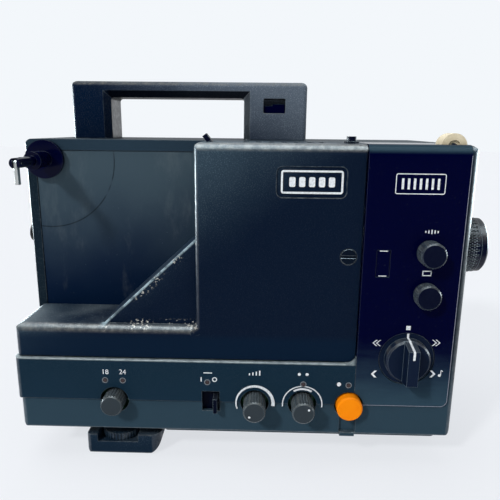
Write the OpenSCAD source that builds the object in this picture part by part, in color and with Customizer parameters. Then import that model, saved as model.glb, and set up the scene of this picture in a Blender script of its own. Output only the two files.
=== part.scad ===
// Movie projector for narrow gauge sound film.
// The lens points along +X, the side with the controls faces -Y, the feet stand at Z = 0.
// Sizes are in millimetres.

/* [Body] */
// Width of the body over its end walls
body_w = 312; // [300:1:324]
// Depth from the face of the film cover to the back wall
body_d = 158; // [152:1:170]
// Space between the table and the tray
ground_gap = 24; // [22:0.5:27]
// Height of the tray up to the row of knobs
tray_h = 23.8; // [22:0.2:26]
// Height of the control band
band_h = 31.5; // [30:0.5:34]
// Height of the body above the control band
upper_h = 150.4; // [146:0.2:156]
// Wall thickness of the mouldings
wall = 3; // [2.6:0.1:3.2]
// Thickness of the lens end wall
end_wall = 5.1; // [4.6:0.1:5.6]
// Step of the panels in front of the film cover
panel_proud = 2.5; // [2:0.1:3]
// Gap between neighbouring mouldings
gap = 0.3; // [0.25:0.05:0.4]
// Rounding of the outer upright edges
edge_r = 4.5; // [3:0.5:6]
// Rounding of the top edges
top_r = 7; // [5:0.5:8]

/* [Reel bay and cover] */
// Depth of the reel bay behind the cover face
bay_d = 45; // [43:0.5:48]
// Width of the control panel beside the film cover
panel_w = 65.2; // [63:0.2:67]
// Height of the ledge under the reel bay
ledge_h = 24; // [22:0.5:27]
// Rounding of the front edge of the ledge
ledge_r = 6.5; // [4:0.5:8]
// Width of the rim at the left of the bay
rim_w = 7; // [6:0.5:8]
// Height of the rim above the bay
rim_top = 8; // [7:0.5:10]
// Length of the film chute along the ledge
chute_run = 66; // [56:1:72]
// Height of the film chute
chute_rise = 62; // [54:1:70]
// Step of the chute behind the cover face
chute_set = 6.5; // [6:0.5:9]
// Rounding of the inner corner between the ledge and the cover
corner_r = 4; // [3:0.5:5]
// Width of the film cover
cover_w = 111.7; // [108:0.1:116]
// Number of cooling slots in the top
vent_n = 7; // [4:1:8]
// Width of a cooling slot
vent_w = 4.4; // [3:0.2:5]
// Distance from slot to slot
vent_pitch = 8.6; // [7:0.2:9]

/* [Lens] */
// Height of the lens axis above the control band
lens_h = 80.7; // [78:0.1:84]
// Depth of the lens axis in front of the back of the reel bay
lens_back = 19; // [18.5:0.1:19.5]
// Radius of the sliding lens barrel
barrel_r = 14; // [13.5:0.1:14.2]
// Radius of the studded zoom ring
ring_r = 19.2; // [18:0.1:20]
// Reach of the lens past the end wall
lens_out = 15.7; // [15:0.1:18]
// Focus travel to each side
focus_travel = 4; // [3:0.1:4.2]
// Pitch radius of the focus pinion
pinion_r = 4; // [3.9:0.05:4.1]
// Teeth on the focus pinion
pinion_n = 10; // [10:1:10]

/* [Knobs] */
// Radius of the focus and frame knobs
small_knob_r = 8.5; // [7.5:0.1:9]
// Reach of the focus knob in front of the panel
focus_out = 11; // [9:0.5:13]
// Reach of the frame knob in front of the panel
frame_out = 8.5; // [7:0.5:11]
// Radius of the function knob skirt
function_r = 18.9; // [17:0.1:20]
// Reach of the function knob in front of the panel
function_out = 17; // [15:0.5:19]
// Radius of the holes round the knobs in the band
well_r = 10.2; // [9.6:0.1:10.8]
// Radius of the volume and mix knobs
band_knob_r = 7.9; // [7:0.1:8.4]
// Reach of the volume and mix knobs
band_knob_out = 13.2; // [11:0.2:15]
// Radius of the record button
rec_r = 9; // [8:0.1:9.2]
// Reach of the record button
rec_out = 6; // [5:0.5:7]
// Reach of the speed button
speed_out = 9; // [7:0.5:10]

/* [Spindle] */
// Radius of the reel collar
collar_r = 6.3; // [6.2:0.05:6.4]
// Radius of the spindle flange
flange_r = 14; // [11:0.5:14]
// Length of the reel collar
collar_l = 20; // [18:0.5:22]
// Length of the thin tip
tip_l = 26; // [22:0.5:28]
// Radius of the film entry roller
roller_r = 8.3; // [7.8:0.1:8.5]
// Width of the film entry roller
roller_w = 13; // [11:0.5:14]

/* [Handle] */
// Width of the handle
handle_w = 185.4; // [180:0.2:190]
// Height of the handle above the body
handle_h = 44; // [40:0.5:48]
// Depth of the handle
handle_d = 33; // [30:0.5:36]
// Depth of the handle front behind the cover face
handle_y = 84; // [80:0.5:88]
// Rounding of the hand hole
hole_r = 2.5; // [2:0.5:6]
// Slope round the front of the hand hole
flare = 5.5; // [4:0.5:6]
// Width of the left handle post
post_l = 29.9; // [26:0.1:32]
// Width of the right handle post
post_r = 49.6; // [46:0.1:52]
// Thickness of the grip
grip_t = 12; // [11:0.5:14]

/* [Feet] */
// Radius of the foot wheel
wheel_r = 14.5; // [13:0.1:15]
// Thickness of the foot wheel
wheel_t = 5; // [4:0.1:5]
// Width of an adjustable foot
boot_w = 55.5; // [54:0.5:60]
// Depth of an adjustable foot
boot_d = 36; // [35:0.5:38]
// Height of an adjustable foot
boot_h = 16; // [15.5:0.1:16.5]

/* [Hidden] */
$fn = 64;
eps = 0.02;
run = 0.05;
// Levels of the body
xl = -body_w / 2;
xr = body_w / 2;
yb = body_d;
z0 = ground_gap;
z_floor = z0 + wall;
z_seam = z0 + tray_h;
z_band = z_seam + band_h;
z_ledge = z_band + ledge_h;
z_top = z_band + upper_h;
tray_proud = 1;
band_lip = 1.2;
panel_r = 5;
panel_y0 = -panel_proud;
panel_y1 = panel_y0 + wall;
panel_x1 = xr - end_wall - 0.1;
panel_x0 = panel_x1 - panel_w;
cover_x1 = panel_x0 - gap;
cover_x0 = cover_x1 - cover_w;
// Planes of the chassis plate
plate_y0 = bay_d + 0.6;
plate_t = 3;
ch_y0 = plate_y0 + plate_t;
ch_t = 2;
ch_y1 = ch_y0 + ch_t;
ch_x0 = xl + wall + 1;
ch_x1 = xr - end_wall - 1;
ch_z1 = z_top - wall - 1;
// Lens and film path
lens_y = bay_d - lens_back;
lens_z = z_band + lens_h;
lens_tip = xr + lens_out;
sleeve_r = barrel_r + 3;
sleeve_x0 = cover_x1 - 15.3;
sleeve_x1 = xr - end_wall - 5;
gate_x = cover_x1 - 33;
mirror_gap = 2.3;
mirror_r = (ch_y0 - wall) / 2 - mirror_gap;
ring_x0 = xr - 1.5;
ring_x1 = ring_x0 + 12.3;
// Control places
focus_x = panel_x1 - 22;
frame_x = focus_x;
frame_z = lens_z - 29;
function_x = panel_x1 - 31;
function_z = z_band + 5;
speed_x = xl + 70.6;
power_x = cover_x0 + 10.2;
volume_x = cover_x0 + 41.4;
mix_x = cover_x0 + 75.3;
rec_x = cover_x0 + 108.2;
power_w = 12.6;
power_z = [z_seam - 7.4, z_seam + 8.6];
key_x = panel_x0 + 13.4;
key_z = lens_z - 8;
screw_x = cover_x1 - 8.9;
screw_z = lens_z - 4.3;
led_z = z_seam + 15.6;
led_x = [speed_x - 6, speed_x + 6.6, power_x - 2.4, mix_x + 0.3, rec_x - 0.8];
board_y = 12;
board_t = 1.6;
// Spindle and roller
spin_x = xl + 14.6;
spin_z = z_top - 14.6;
flange_y = bay_d - 0.4;
collar_y = flange_y - 3;
tip_y = collar_y - collar_l;
tip_end = tip_y - tip_l;
tip_r = 3.5;
roller_x = panel_x1 - roller_r - 0.5;
roller_z = z_top - 1.2;
roller_y = 8;
// Drive
drive_y = ch_y1 + 12;
shaft_z = lens_z;
shaft_r = 3;
shutter_r = 43;
shutter_x = gate_x - 12;
worm_x = cover_x0 + 9.6;
worm_r = 6;
wheel_pitch = 14;
takeup_z = shaft_z - worm_r - wheel_pitch - 0.3;
pulley_y = ch_y1 + 19;
pulley_w = 4;
drive_pulley_r = 9;
takeup_pulley_r = 9.3;
motor_y = yb - 46;
motor_z = z_floor + 68;
motor_r = 24;
motor_x = [gate_x - 42, gate_x + 18];
belt_x = gate_x + 29;
belt_w = 4;
shaft_pulley_r = 9;
motor_pulley_r = 6;
fly_x = cover_x0 + 29.4;
fly_z = z_band + 20.7;
fly_r = 29;
pinch_r = 8;
pinch_x = fly_x + 2 + pinch_r + 0.3;
arm_x = fly_x + 24;
arm_z = fly_z - 12;
// Feet
boot_x = xl + 73.6;
wheel_x = xl + 69.5;
front_boot_y = 4;
rear_boot_y = yb - 4 - boot_d;
wheel_set = 1;
wheel_z = 10.6;
stud_r = 4;
stud_top = 40;
guide_r = 3;
guide_off = 22.6;
pad_x = xr - 46;
pad_y = [58, yb - 20];
// Handle
handle_x0 = xl + 22.7;
handle_x1 = handle_x0 + handle_w;
handle_z = z_top + handle_h;
hole_x0 = handle_x0 + post_l;
hole_x1 = handle_x1 - post_r;
trim_x = [hole_x1 + 15.6, hole_x1 + 32.6];
trim_z = [handle_z - 23.4, handle_z - 12.4];
// Back wall
inlet_x = xr - 46;
inlet_z = z_seam + 22;
din_x = [xr - 96, xr - 74];
side_y = bay_d + 13;
side_z = z_top - 72;
side_out = 5;
side_r = 6.5;
screw_px = [xl + 14, xr - end_wall - 12];
screw_pz = [z_seam + 12, z_top - 14];
// Shift that puts the middle of the outer box on the origin
mid_x = (xl - side_out + lens_tip) / 2;
mid_y = (panel_y0 - function_out + yb) / 2;

// Corner left over outside a rounding, in the plane
module notch(cx, cy, sx, sy, r) {
    difference() {
        translate([min(cx - sx * eps, cx + sx * r), min(cy - sy * eps, cy + sy * r)])
            square([r + eps, r + eps]);
        translate([cx + sx * r, cy + sy * r])
            circle(r = r);
    }
}

// Rectangle with its own radius at each corner, counted from the low corner round to the left
module rounded(a, b, r = [0, 0, 0, 0]) {
    difference() {
        translate([a[0], b[0]])
            square([a[1] - a[0], b[1] - b[0]]);
        if (r[0] > 0) notch(a[0], b[0], 1, 1, r[0]);
        if (r[1] > 0) notch(a[1], b[0], -1, 1, r[1]);
        if (r[2] > 0) notch(a[1], b[1], -1, -1, r[2]);
        if (r[3] > 0) notch(a[0], b[1], 1, -1, r[3]);
    }
}

// Prism along Y with its outline in X and Z
module py(x, z, y, r = [0, 0, 0, 0]) {
    translate([0, y[1], 0])
        rotate([90, 0, 0])
            linear_extrude(height = y[1] - y[0])
                rounded(x, z, r);
}

// Prism along X with its outline in Y and Z
module px(y, z, x, r = [0, 0, 0, 0]) {
    translate([x[0], 0, 0])
        rotate([90, 0, 90])
            linear_extrude(height = x[1] - x[0])
                rounded(y, z, r);
}

// Prism along Z with its outline in X and Y
module pz(x, y, z, r = [0, 0, 0, 0]) {
    translate([0, 0, z[0]])
        linear_extrude(height = z[1] - z[0])
            rounded(x, y, r);
}

// Plain box between two corners
module bx(x, y, z) {
    translate([x[0], y[0], z[0]])
        cube([x[1] - x[0], y[1] - y[0], z[1] - z[0]]);
}

// Box with roundings seen from the front, from above and from the end
module block(x, y, z, front, above, end) {
    intersection() {
        py(x, z, y, front);
        pz(x, y, z, above);
        px(y, z, x, end);
    }
}

// Rods along the three axes
module ry(x, z, y, r) {
    translate([x, y[1], z])
        rotate([90, 0, 0])
            cylinder(h = y[1] - y[0], r = r);
}

module rx(y, z, x, r) {
    translate([x[0], y, z])
        rotate([0, 90, 0])
            cylinder(h = x[1] - x[0], r = r);
}

module rz(x, y, z, r) {
    translate([x, y, z[0]])
        cylinder(h = z[1] - z[0], r = r);
}

// Places a piece modelled on the body in the shared frame
module put() {
    translate([-mid_x, -mid_y, 0])
        children();
}

// Round openings for the four knobs of the band
module wells() {
    for (x = [speed_x, volume_x, mix_x, rec_x])
        ry(x, z_seam, [panel_y0 - 1, 4], well_r);
    bx([power_x - power_w / 2, power_x + power_w / 2], [panel_y0 - 1, 4], power_z);
}

// Knob with a ribbed side and a chamfered cap, its back at y1
module ribbed_knob(x, z, y, r, ribs) {
    difference() {
        union() {
            ry(x, z, [y[0] + 1, y[1]], r);
            translate([x, y[0] + 1, z])
                rotate([90, 0, 0])
                    cylinder(h = 1, r1 = r, r2 = r - 1);
        }
        for (i = [0 : ribs - 1])
            translate([x, 0, z])
                rotate([0, i * 360 / ribs, 0])
                    bx([r - 0.5, r + 1], [y[0] - 1, y[1] - 1.5], [-0.45, 0.45]);
    }
}

module main_housing() {
    color("#24292c")
    put() difference() {
        union() {
            block([xl + band_lip, xr], [-tray_proud, yb], [z0, z_top], [6, 6, top_r, 0],
                [5, edge_r, 5, 5], [2, 4, 6, 6]);
            for (y = pad_y)
                rz(pad_x, y, [4, z0 + 1], 11);
            pz([boot_x + boot_w / 2 + 4, xr - 9], [3.5, yb - 4], [z0 - 2.8, z0 + 1], [2, 4, 4, 2]);
            px([-tray_proud - 0.8, 5], [z0 - 1.6, z0 + 2], [rec_x - 5.2, rec_x + 5.2], [1.2, 0, 0, 1.2]);
        }
        py([xl - 1, xr - end_wall], [z_seam, z_top + 1], [-tray_proud - 1, yb + 1], [0, panel_r, 0, 0]);
        difference() {
            bx([xl + band_lip + wall, xr - end_wall], [2, yb - wall], [z_floor, z_top - wall]);
            for (y = [front_boot_y + wheel_set + wheel_r, rear_boot_y + boot_d - wheel_set - wheel_r])
                rz(wheel_x, y, [z0, z_floor + 9], stud_r + 1.6);
        }
        wells();
        bx([rec_x - 5.8, rec_x + 5.8], [-tray_proud - 1, 1], [z0 + 2, z_seam]);
        rx(lens_y, lens_z, [xr - end_wall - 1, xr + 1], ring_r + 0.8);
        for (y = [front_boot_y + wheel_set + wheel_r, rear_boot_y + boot_d - wheel_set - wheel_r]) {
            rz(wheel_x, y, [z0 - 1, z_floor + 12], stud_r + run);
        }
        for (s = [-1, 1]) {
            rz(boot_x + s * guide_off, front_boot_y + boot_d - 6, [z0 - 1, z_floor + 1], guide_r + run);
            rz(boot_x + s * guide_off, rear_boot_y + 6, [z0 - 1, z_floor + 1], guide_r + run);
        }
    }
}

module rear_housing() {
    color("#24292c")
    put() difference() {
        block([xl, xr - end_wall], [bay_d, yb], [z_seam, z_top], [0, panel_r, 0, 5], [1, 0, 0, 6], [0, 0, 6, 0]);
        bx([xl + wall, xr], [bay_d + wall, yb - wall], [z_seam - 1, z_top - wall]);
        bx([xl + rim_w, xr], [bay_d - 1, bay_d + wall + 1], [z_seam - 1, z_top - rim_top]);
        for (i = [0 : 9])
            py([cover_x0 - 6 + i * 9, cover_x0 - 2 + i * 9], [z_top - 70, z_top - 25], [yb - wall - 1, yb + 1]);
        for (i = [0 : 5])
            py([xl + 40 + i * 9, xl + 44 + i * 9], [z_seam + 14, z_seam + 50], [yb - wall - 1, yb + 1]);
        py([inlet_x - 14, inlet_x + 14], [inlet_z - 10, inlet_z + 10], [yb - wall - 1, yb + 1]);
        for (x = din_x)
            ry(x, inlet_z, [yb - wall - 1, yb + 1], 8);
        rx(side_y, side_z, [xl - 1, xl + wall + 1], side_r);
        for (x = screw_px)
            for (z = screw_pz) {
                ry(x, z, [yb - wall - 1, yb + 1], 2);
                ry(x, z, [yb - 1.6, yb + 1], 3.6);
            }
    }
}

module reel_plate() {
    color("#3a4145")
    put() difference() {
        py([xl + rim_w + 0.2, cover_x0 + wall], [z_ledge - 3, z_top - rim_top - 0.2],
            [plate_y0, plate_y0 + plate_t], [0, 0, 0, 3]);
        bx([xl, spin_x + 6.2], [plate_y0 - 1, ch_y0 + 1], [spin_z - 6.2, z_top]);
    }
}

module chassis_plate() {
    color("#a9aeb0")
    put() difference() {
        union() {
            py([ch_x0, ch_x1], [z_floor, ch_z1], [ch_y0, ch_y1], [0, 3, 3, 3]);
            ry(spin_x, spin_z, [ch_y0, ch_y1 + 10], 8);
            ry(worm_x, takeup_z, [ch_y0 - 4, ch_y1], 6);
            ry(fly_x, fly_z, [ch_y0 - 12, ch_y1], 7);
            ry(arm_x, arm_z, [ch_y0 - 18, ch_y1], 2.5);
        }
        bx([ch_x0 - 1, xl + rim_w + 2], [ch_y0 - 1, ch_y1 + 1], [z_floor - 1, z_seam + 1]);
        ry(spin_x, spin_z, [ch_y0 - 1, ch_y1 + 11], 5 + run);
        ry(worm_x, takeup_z, [ch_y0 - 5, ch_y1 + 1], 2.5 + run);
        ry(fly_x, fly_z, [ch_y0 - 13, ch_y1 + 1], 2 + run);
        bx([shutter_x - 2.5, shutter_x + 4], [ch_y0 - 1, ch_y1 + 1],
            [shaft_z - shutter_r - 1.5, shaft_z + shutter_r + 1.5]);
    }
}

// Outer form of the film cover: upright block, ledge and chute
module cover_outer() {
    block([cover_x0, cover_x1], [0, bay_d - gap], [z_band + gap, z_top], [0, 7, 1, 4.5], [3, 1, 0, 0],
        [1, 0, 0, top_r]);
    block([xl + 1.5, cover_x0 + 20], [0, bay_d - gap], [z_band + gap, z_ledge], [0, 0, 0, 5], [4, 0, 0, 0],
        [1, 0, 0, ledge_r]);
    translate([0, bay_d - gap, 0])
        rotate([90, 0, 0])
            linear_extrude(height = bay_d - gap - chute_set)
                polygon([[cover_x0 - chute_run, z_ledge - 1], [cover_x0 + 1, z_ledge - 1],
                    [cover_x0 + 1, z_ledge + chute_rise], [cover_x0, z_ledge + chute_rise],
                    [cover_x0 - chute_run, z_ledge]]);
    translate([cover_x0 - corner_r, 0, z_ledge + corner_r])
        rotate([90, 0, 0])
            rotate([0, 0, -90])
                rotate_extrude(angle = 90)
                    rounded([corner_r, corner_r + 7], [-chute_set - 1, 0], [0, 0, 0, 5]);
}

module front_cover() {
    slope = atan(chute_rise / chute_run);
    shift = wall / sin(slope);
    color("#1f2427")
    put() difference() {
        union() {
            difference() {
                cover_outer();
                bx([cover_x0 + wall, cover_x1 - wall], [wall, bay_d + 1], [z_band - 1, z_top - wall]);
                bx([xl + 1.5 + wall, cover_x0 + wall + 1], [wall, bay_d + 1], [z_band - 1, z_ledge - wall]);
                translate([0, bay_d + 1, 0])
                    rotate([90, 0, 0])
                        linear_extrude(height = bay_d + 1 - chute_set - wall)
                            polygon([[cover_x0 - chute_run + shift, z_ledge - wall - 1],
                                [cover_x0, z_ledge - wall - 1],
                                [cover_x0, z_ledge + chute_rise - shift * tan(slope)],
                                [cover_x0 - chute_run + shift, z_ledge]]);
            }
            ry(screw_x, screw_z, [1, wall + 1], 8);
        }
        for (i = [0 : vent_n - 1])
            pz([cover_x0 + 31 + i * vent_pitch, cover_x0 + 31 + i * vent_pitch + vent_w], [top_r + 3, bay_d - 12],
                [z_top - wall - 1, z_top + 1], [2, 2, 2, 2]);
        ry(screw_x, screw_z, [-1, 2], 5.6);
        ry(screw_x, screw_z, [-1, wall + 2], 2.5 + gap);
        py([cover_x0 + 53.6, cover_x0 + 99.4], [z_top - 35, z_top - 14.7], [-1, 1], [4, 4, 4, 4]);
        bx([cover_x0 + 6, cover_x0 + 14], [top_r + 1, top_r + 9], [z_top - wall - 1, z_top + 1]);
        bx([cover_x0 + 93.6, cover_x0 + 106.2], [top_r + 2.2, top_r + 5.8], [z_top - wall - 1, z_top + 1]);
        px([lens_y - sleeve_r - 0.6, bay_d + 1], [lens_z - sleeve_r - 0.6, lens_z + sleeve_r + 0.6],
            [cover_x1 - wall - 1, cover_x1 + 1], [4, 0, 0, 4]);
    }
}

module control_panel() {
    color("#14181c")
    put() difference() {
        union() {
            difference() {
                block([panel_x0, panel_x1], [panel_y0, bay_d - gap], [z_seam + 0.2, z_top], [0, panel_r, 0, 0],
                    [0, 0, 0, 0], [0.6, 0, 0, top_r]);
                bx([panel_x0 - 1, panel_x1 + 1], [panel_y1, bay_d + 1], [z_seam - 1, z_top - wall]);
            }
            ry(function_x, function_z, [panel_y1 - 1, panel_y1 + 3], function_r + 2.5);
            bx([roller_x - 5, panel_x1], [roller_y + roller_w + 2, roller_y + roller_w + 6],
                [z_top - 10, z_top - 1]);
            ry(roller_x, roller_z, [roller_y + 0.3, roller_y + roller_w + 4], 2);
        }
        ry(function_x, function_z, [panel_y0 - 1, panel_y1 + 0.2], function_r + 0.4);
        ry(function_x, function_z, [panel_y0 - 1, panel_y1 + 5], 4 + run);
        ry(focus_x, lens_z, [panel_y0 - 1, panel_y1 + 1], 3 + run);
        ry(frame_x, frame_z, [panel_y0 - 1, panel_y1 + 1], 3 + run);
        difference() {
            bx([roller_x - roller_r - 1, panel_x1 + 1], [roller_y - 1, roller_y + roller_w + 1],
                [z_top - wall - 1, z_top + 1]);
            ry(roller_x, roller_z, [roller_y + 0.3, roller_y + roller_w + 4], 2);
        }
        py([key_x - 4.6, key_x + 4.6], [key_z - 9.3, key_z + 9.3], [panel_y0 - 1, panel_y1 + 1]);
        wells();
    }
}

module audio_panel() {
    color("#2a3033")
    put() difference() {
        union() {
            difference() {
                block([xl + 0.2, cover_x1 + 0.1], [panel_y0, bay_d - gap], [z_seam + 0.2, z_band], [0, 0, 0, 0],
                    [edge_r, 0, 0, 0], [0.6, 0, 0, 1]);
                bx([xl + 0.2 + wall, cover_x1 + 1], [panel_y1, bay_d + 1], [z_seam - 1, z_band + 1]);
            }
            difference() {
                py([cover_x1 - 7.1, cover_x1 + 0.1], [z_band - 1, z_band + 7.4], [panel_y0, panel_y1 + 1.5]);
                ry(cover_x1 - 7, z_band + gap + 7, [panel_y0 - 1, panel_y1 + 2], 7 + gap);
            }
        }
        wells();
        for (x = led_x)
            ry(x, led_z, [panel_y0 - 1, panel_y1 + 1], 1.4);
    }
}

module handle() {
    color("#262b2e")
    put() difference() {
        block([handle_x0, handle_x1], [handle_y, handle_y + handle_d], [z_top, handle_z], [0, 0, 5, 5],
            [3, 3, 3, 3], [0, 0, 5, 4]);
        py([hole_x0, hole_x1], [z_top - 1, handle_z - grip_t], [handle_y - 1, handle_y + handle_d + 1],
            [0, 0, hole_r, hole_r]);
        intersection() {
            translate([hole_x0 - flare - 2, 0, 0])
                rotate([90, 0, 90])
                    linear_extrude(height = hole_x1 - hole_x0 + 2 * flare + 4)
                        polygon([[handle_y - 1, z_top - 1], [handle_y + flare, z_top - 1],
                            [handle_y + flare, handle_z - grip_t - 0.5],
                            [handle_y - 1, handle_z - grip_t + flare + 0.5]]);
            translate([0, 0, z_top - 1])
                linear_extrude(height = handle_z - z_top + 2)
                    polygon([[hole_x0 - flare - 0.5, handle_y - 1], [hole_x1 + flare + 0.5, handle_y - 1],
                        [hole_x1 - 0.5, handle_y + flare], [hole_x0 + 0.5, handle_y + flare]]);
        }
        py(trim_x, trim_z, [handle_y - 1, handle_y + 14], [1, 1, 1, 1]);
        bx([trim_x[1] - 1, handle_x1 + 1], [handle_y + 3, handle_y + 12], [trim_z[1] - 3.4, trim_z[1] - 2]);
    }
}

module trimmer_button() {
    color("#0c0e10")
    put() union() {
        bx([trim_x[0] + gap, trim_x[1] - gap], [handle_y + 2, handle_y + 11], [trim_z[0] + gap, trim_z[0] + 5.6]);
        bx([trim_x[0] + 7, trim_x[1] - gap], [handle_y + 2, handle_y + 11], [trim_z[0] + 2, trim_z[0] + 7]);
    }
}

module takeup_spindle() {
    color("#3b4044")
    put() difference() {
        union() {
            ry(spin_x, spin_z, [collar_y, flange_y], flange_r);
            ry(spin_x, spin_z, [tip_y, collar_y - 4], collar_r);
            ry(spin_x, spin_z, [collar_y - 4.5, collar_y + 1], collar_r - 0.3);
            ry(spin_x, spin_z, [tip_end, tip_y + 1], tip_r);
            ry(spin_x, spin_z, [flange_y - 1, pulley_y + pulley_w + 3], 5);
        }
        for (a = [0, 120, 240])
            translate([spin_x, 0, spin_z])
                rotate([0, a + 30, 0])
                    bx([collar_r - 1, collar_r + 1], [collar_y - 3.5, collar_y - 0.5], [-0.6, 0.6]);
        bx([spin_x - 1.4, spin_x + 1.4], [tip_end - 1, tip_end + 9], [spin_z - 5, spin_z + 5]);
        rx(tip_end + 3, spin_z, [spin_x - 4, spin_x + 4], 0.8);
    }
}

module reel_lock_lever() {
    color("#c9ccc8")
    put() union() {
        bx([spin_x - 1.1, spin_x + 1.1], [tip_end + 1.2, tip_end + 4.8], [spin_z - 14, spin_z]);
        rx(tip_end + 3, spin_z, [spin_x - 1.1, spin_x + 1.1], 1.8);
        rx(tip_end + 3, spin_z, [spin_x - 3.2, spin_x + 3.2], 0.75);
    }
}

module takeup_pulley() {
    color("#1c1f22")
    put() difference() {
        union() {
            ry(spin_x, spin_z, [pulley_y, pulley_y + pulley_w], takeup_pulley_r);
            ry(spin_x, spin_z, [pulley_y - 1, pulley_y], takeup_pulley_r + 1);
        }
        ry(spin_x, spin_z, [pulley_y - 2, pulley_y + pulley_w + 1], 5);
    }
}

// Belt loop round two pulleys, drawn in the plane
module loop(a, ra, b, rb, t) {
    d = norm(b - a);
    turn = atan2(b[1] - a[1], b[0] - a[0]);
    difference() {
        belt_area(a, ra + t, b, rb + t, turn, d);
        belt_area(a, ra, b, rb, turn, d);
    }
}

// Area inside two circles and the runs between them, which lie a hair inside the tangents
module belt_area(a, ra, b, rb, turn, d) {
    lean = asin((ra - rb) / d);
    translate(a)
        circle(r = ra);
    translate(b)
        circle(r = rb);
    qa = ra - 0.05;
    qb = rb - 0.05;
    translate(a)
        rotate(turn)
            polygon([[qa * sin(lean), qa * cos(lean)], [d + qb * sin(lean), qb * cos(lean)],
                [d + qb * sin(lean), -qb * cos(lean)], [qa * sin(lean), -qa * cos(lean)]]);
}

module takeup_belt() {
    color("#17191b")
    put() translate([0, pulley_y + pulley_w - 0.5, 0])
        rotate([90, 0, 0])
            linear_extrude(height = pulley_w - 1)
                loop([worm_x, takeup_z], drive_pulley_r + gap, [spin_x, spin_z], takeup_pulley_r + gap, 1.5);
}

module takeup_drive() {
    color("#d9d4c2")
    put() difference() {
        union() {
            ry(worm_x, takeup_z, [drive_y - 4, drive_y + 4], wheel_pitch);
            ry(worm_x, takeup_z, [ch_y0 - 10, pulley_y + pulley_w + 1], 2.5);
            ry(worm_x, takeup_z, [pulley_y, pulley_y + pulley_w], drive_pulley_r);
            ry(worm_x, takeup_z, [drive_y + 4, pulley_y], 5);
        }
        for (i = [0 : 19])
            translate([worm_x, 0, takeup_z])
                rotate([0, i * 18, 0])
                    bx([wheel_pitch - 1.2, wheel_pitch + 1], [drive_y - 5, drive_y + 5], [-0.9, 0.9]);
    }
}

module main_shaft() {
    color("#b6babd")
    put() difference() {
        union() {
            rx(drive_y, shaft_z, [worm_x - 14, belt_x + belt_w + 2], shaft_r);
            rx(drive_y, shaft_z, [worm_x - 10, worm_x + 10], worm_r);
            rx(drive_y, shaft_z, [gate_x + 1, gate_x + 5], 6);
            rx(drive_y, shaft_z, [belt_x, belt_x + belt_w], shaft_pulley_r);
            rx(drive_y, shaft_z, [shutter_x + 1.5, shutter_x + 7], 7);
        }
        for (i = [-4 : 4])
            translate([worm_x + i * 2.2 - 0.4, drive_y, shaft_z])
                rotate([0, 90, 0])
                    difference() {
                        cylinder(h = 0.8, r = worm_r + 1);
                        translate([0, 0, -1])
                            cylinder(h = 3, r = worm_r - 1.2);
                    }
    }
}

module shutter() {
    color("#33373a")
    put() difference() {
        rx(drive_y, shaft_z, [shutter_x, shutter_x + 1.5], shutter_r);
        rx(drive_y, shaft_z, [shutter_x - 1, shutter_x + 2], shaft_r);
        for (i = [0 : 2])
            translate([shutter_x - 1, drive_y, shaft_z])
                rotate([i * 120 + 180, 0, 0])
                    rotate([90, 0, 90])
                        linear_extrude(height = 4)
                            difference() {
                                polygon([[0, 0], [60 * cos(30), 60 * sin(30)], [60, 0],
                                    [60 * cos(30), -60 * sin(30)]]);
                                circle(r = 15);
                            }
    }
}

module shaft_bearings() {
    color("#8d9396")
    put() for (x = [gate_x - 32, gate_x + 10])
        difference() {
            px([ch_y1, drive_y + 8], [shaft_z - 9, shaft_z + 9], [x, x + 6], [0, 6, 6, 0]);
            rx(drive_y, shaft_z, [x - 1, x + 7], shaft_r + run);
        }
}

module drive_belt() {
    color("#17191b")
    put() translate([belt_x + 0.5, 0, 0])
        rotate([90, 0, 90])
            linear_extrude(height = belt_w - 1)
                loop([drive_y, shaft_z], shaft_pulley_r + gap, [motor_y, motor_z], motor_pulley_r + gap, 1.8);
}

module motor() {
    color("#8a9094")
    put() difference() {
        union() {
            rx(motor_y, motor_z, motor_x, motor_r);
            rx(motor_y, motor_z, [motor_x[0] - 3, motor_x[1] + 3], 8);
        }
        rx(motor_y, motor_z, [motor_x[0] - 4, motor_x[1] + 4], 2.5 + run);
    }
}

module motor_bracket() {
    color("#6e7477")
    put() difference() {
        bx([motor_x[0] + 10, motor_x[1] - 10], [motor_y - 20, motor_y + 20], [z_floor, motor_z - 8]);
        rx(motor_y, motor_z, [motor_x[0], motor_x[1]], motor_r);
        bx([motor_x[0] + 14, motor_x[1] - 14], [motor_y - 16, motor_y + 16], [z_floor + 3, motor_z - 27]);
    }
}

module motor_shaft() {
    color("#c3c7c9")
    put() union() {
        rx(motor_y, motor_z, [motor_x[0] - 28, belt_x + belt_w + 2], 2.5);
        rx(motor_y, motor_z, [belt_x, belt_x + belt_w], motor_pulley_r);
    }
}

module fan() {
    color("#4a4f52")
    put() difference() {
        union() {
            rx(motor_y, motor_z, [motor_x[0] - 26, motor_x[0] - 6], 6);
            rx(motor_y, motor_z, [motor_x[0] - 8, motor_x[0] - 6], 25);
            for (i = [0 : 11])
                translate([0, motor_y, motor_z])
                    rotate([i * 30, 0, 0])
                        bx([motor_x[0] - 26, motor_x[0] - 7], [16, 24.5], [-0.7, 0.7]);
        }
        rx(motor_y, motor_z, [motor_x[0] - 40, motor_x[0]], 2.5);
    }
}

module flywheel() {
    color("#9aa0a3")
    put() difference() {
        union() {
            ry(fly_x, fly_z, [ch_y1 + 6, ch_y1 + 16], fly_r);
            ry(fly_x, fly_z, [ch_y1 + 1, ch_y1 + 19], 8);
            ry(fly_x, fly_z, [board_y + board_t + 2, ch_y1 + 2], 2);
        }
        difference() {
            ry(fly_x, fly_z, [ch_y1 + 12, ch_y1 + 17], fly_r - 6);
            ry(fly_x, fly_z, [ch_y1 + 11, ch_y1 + 18], 11);
        }
    }
}

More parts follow.
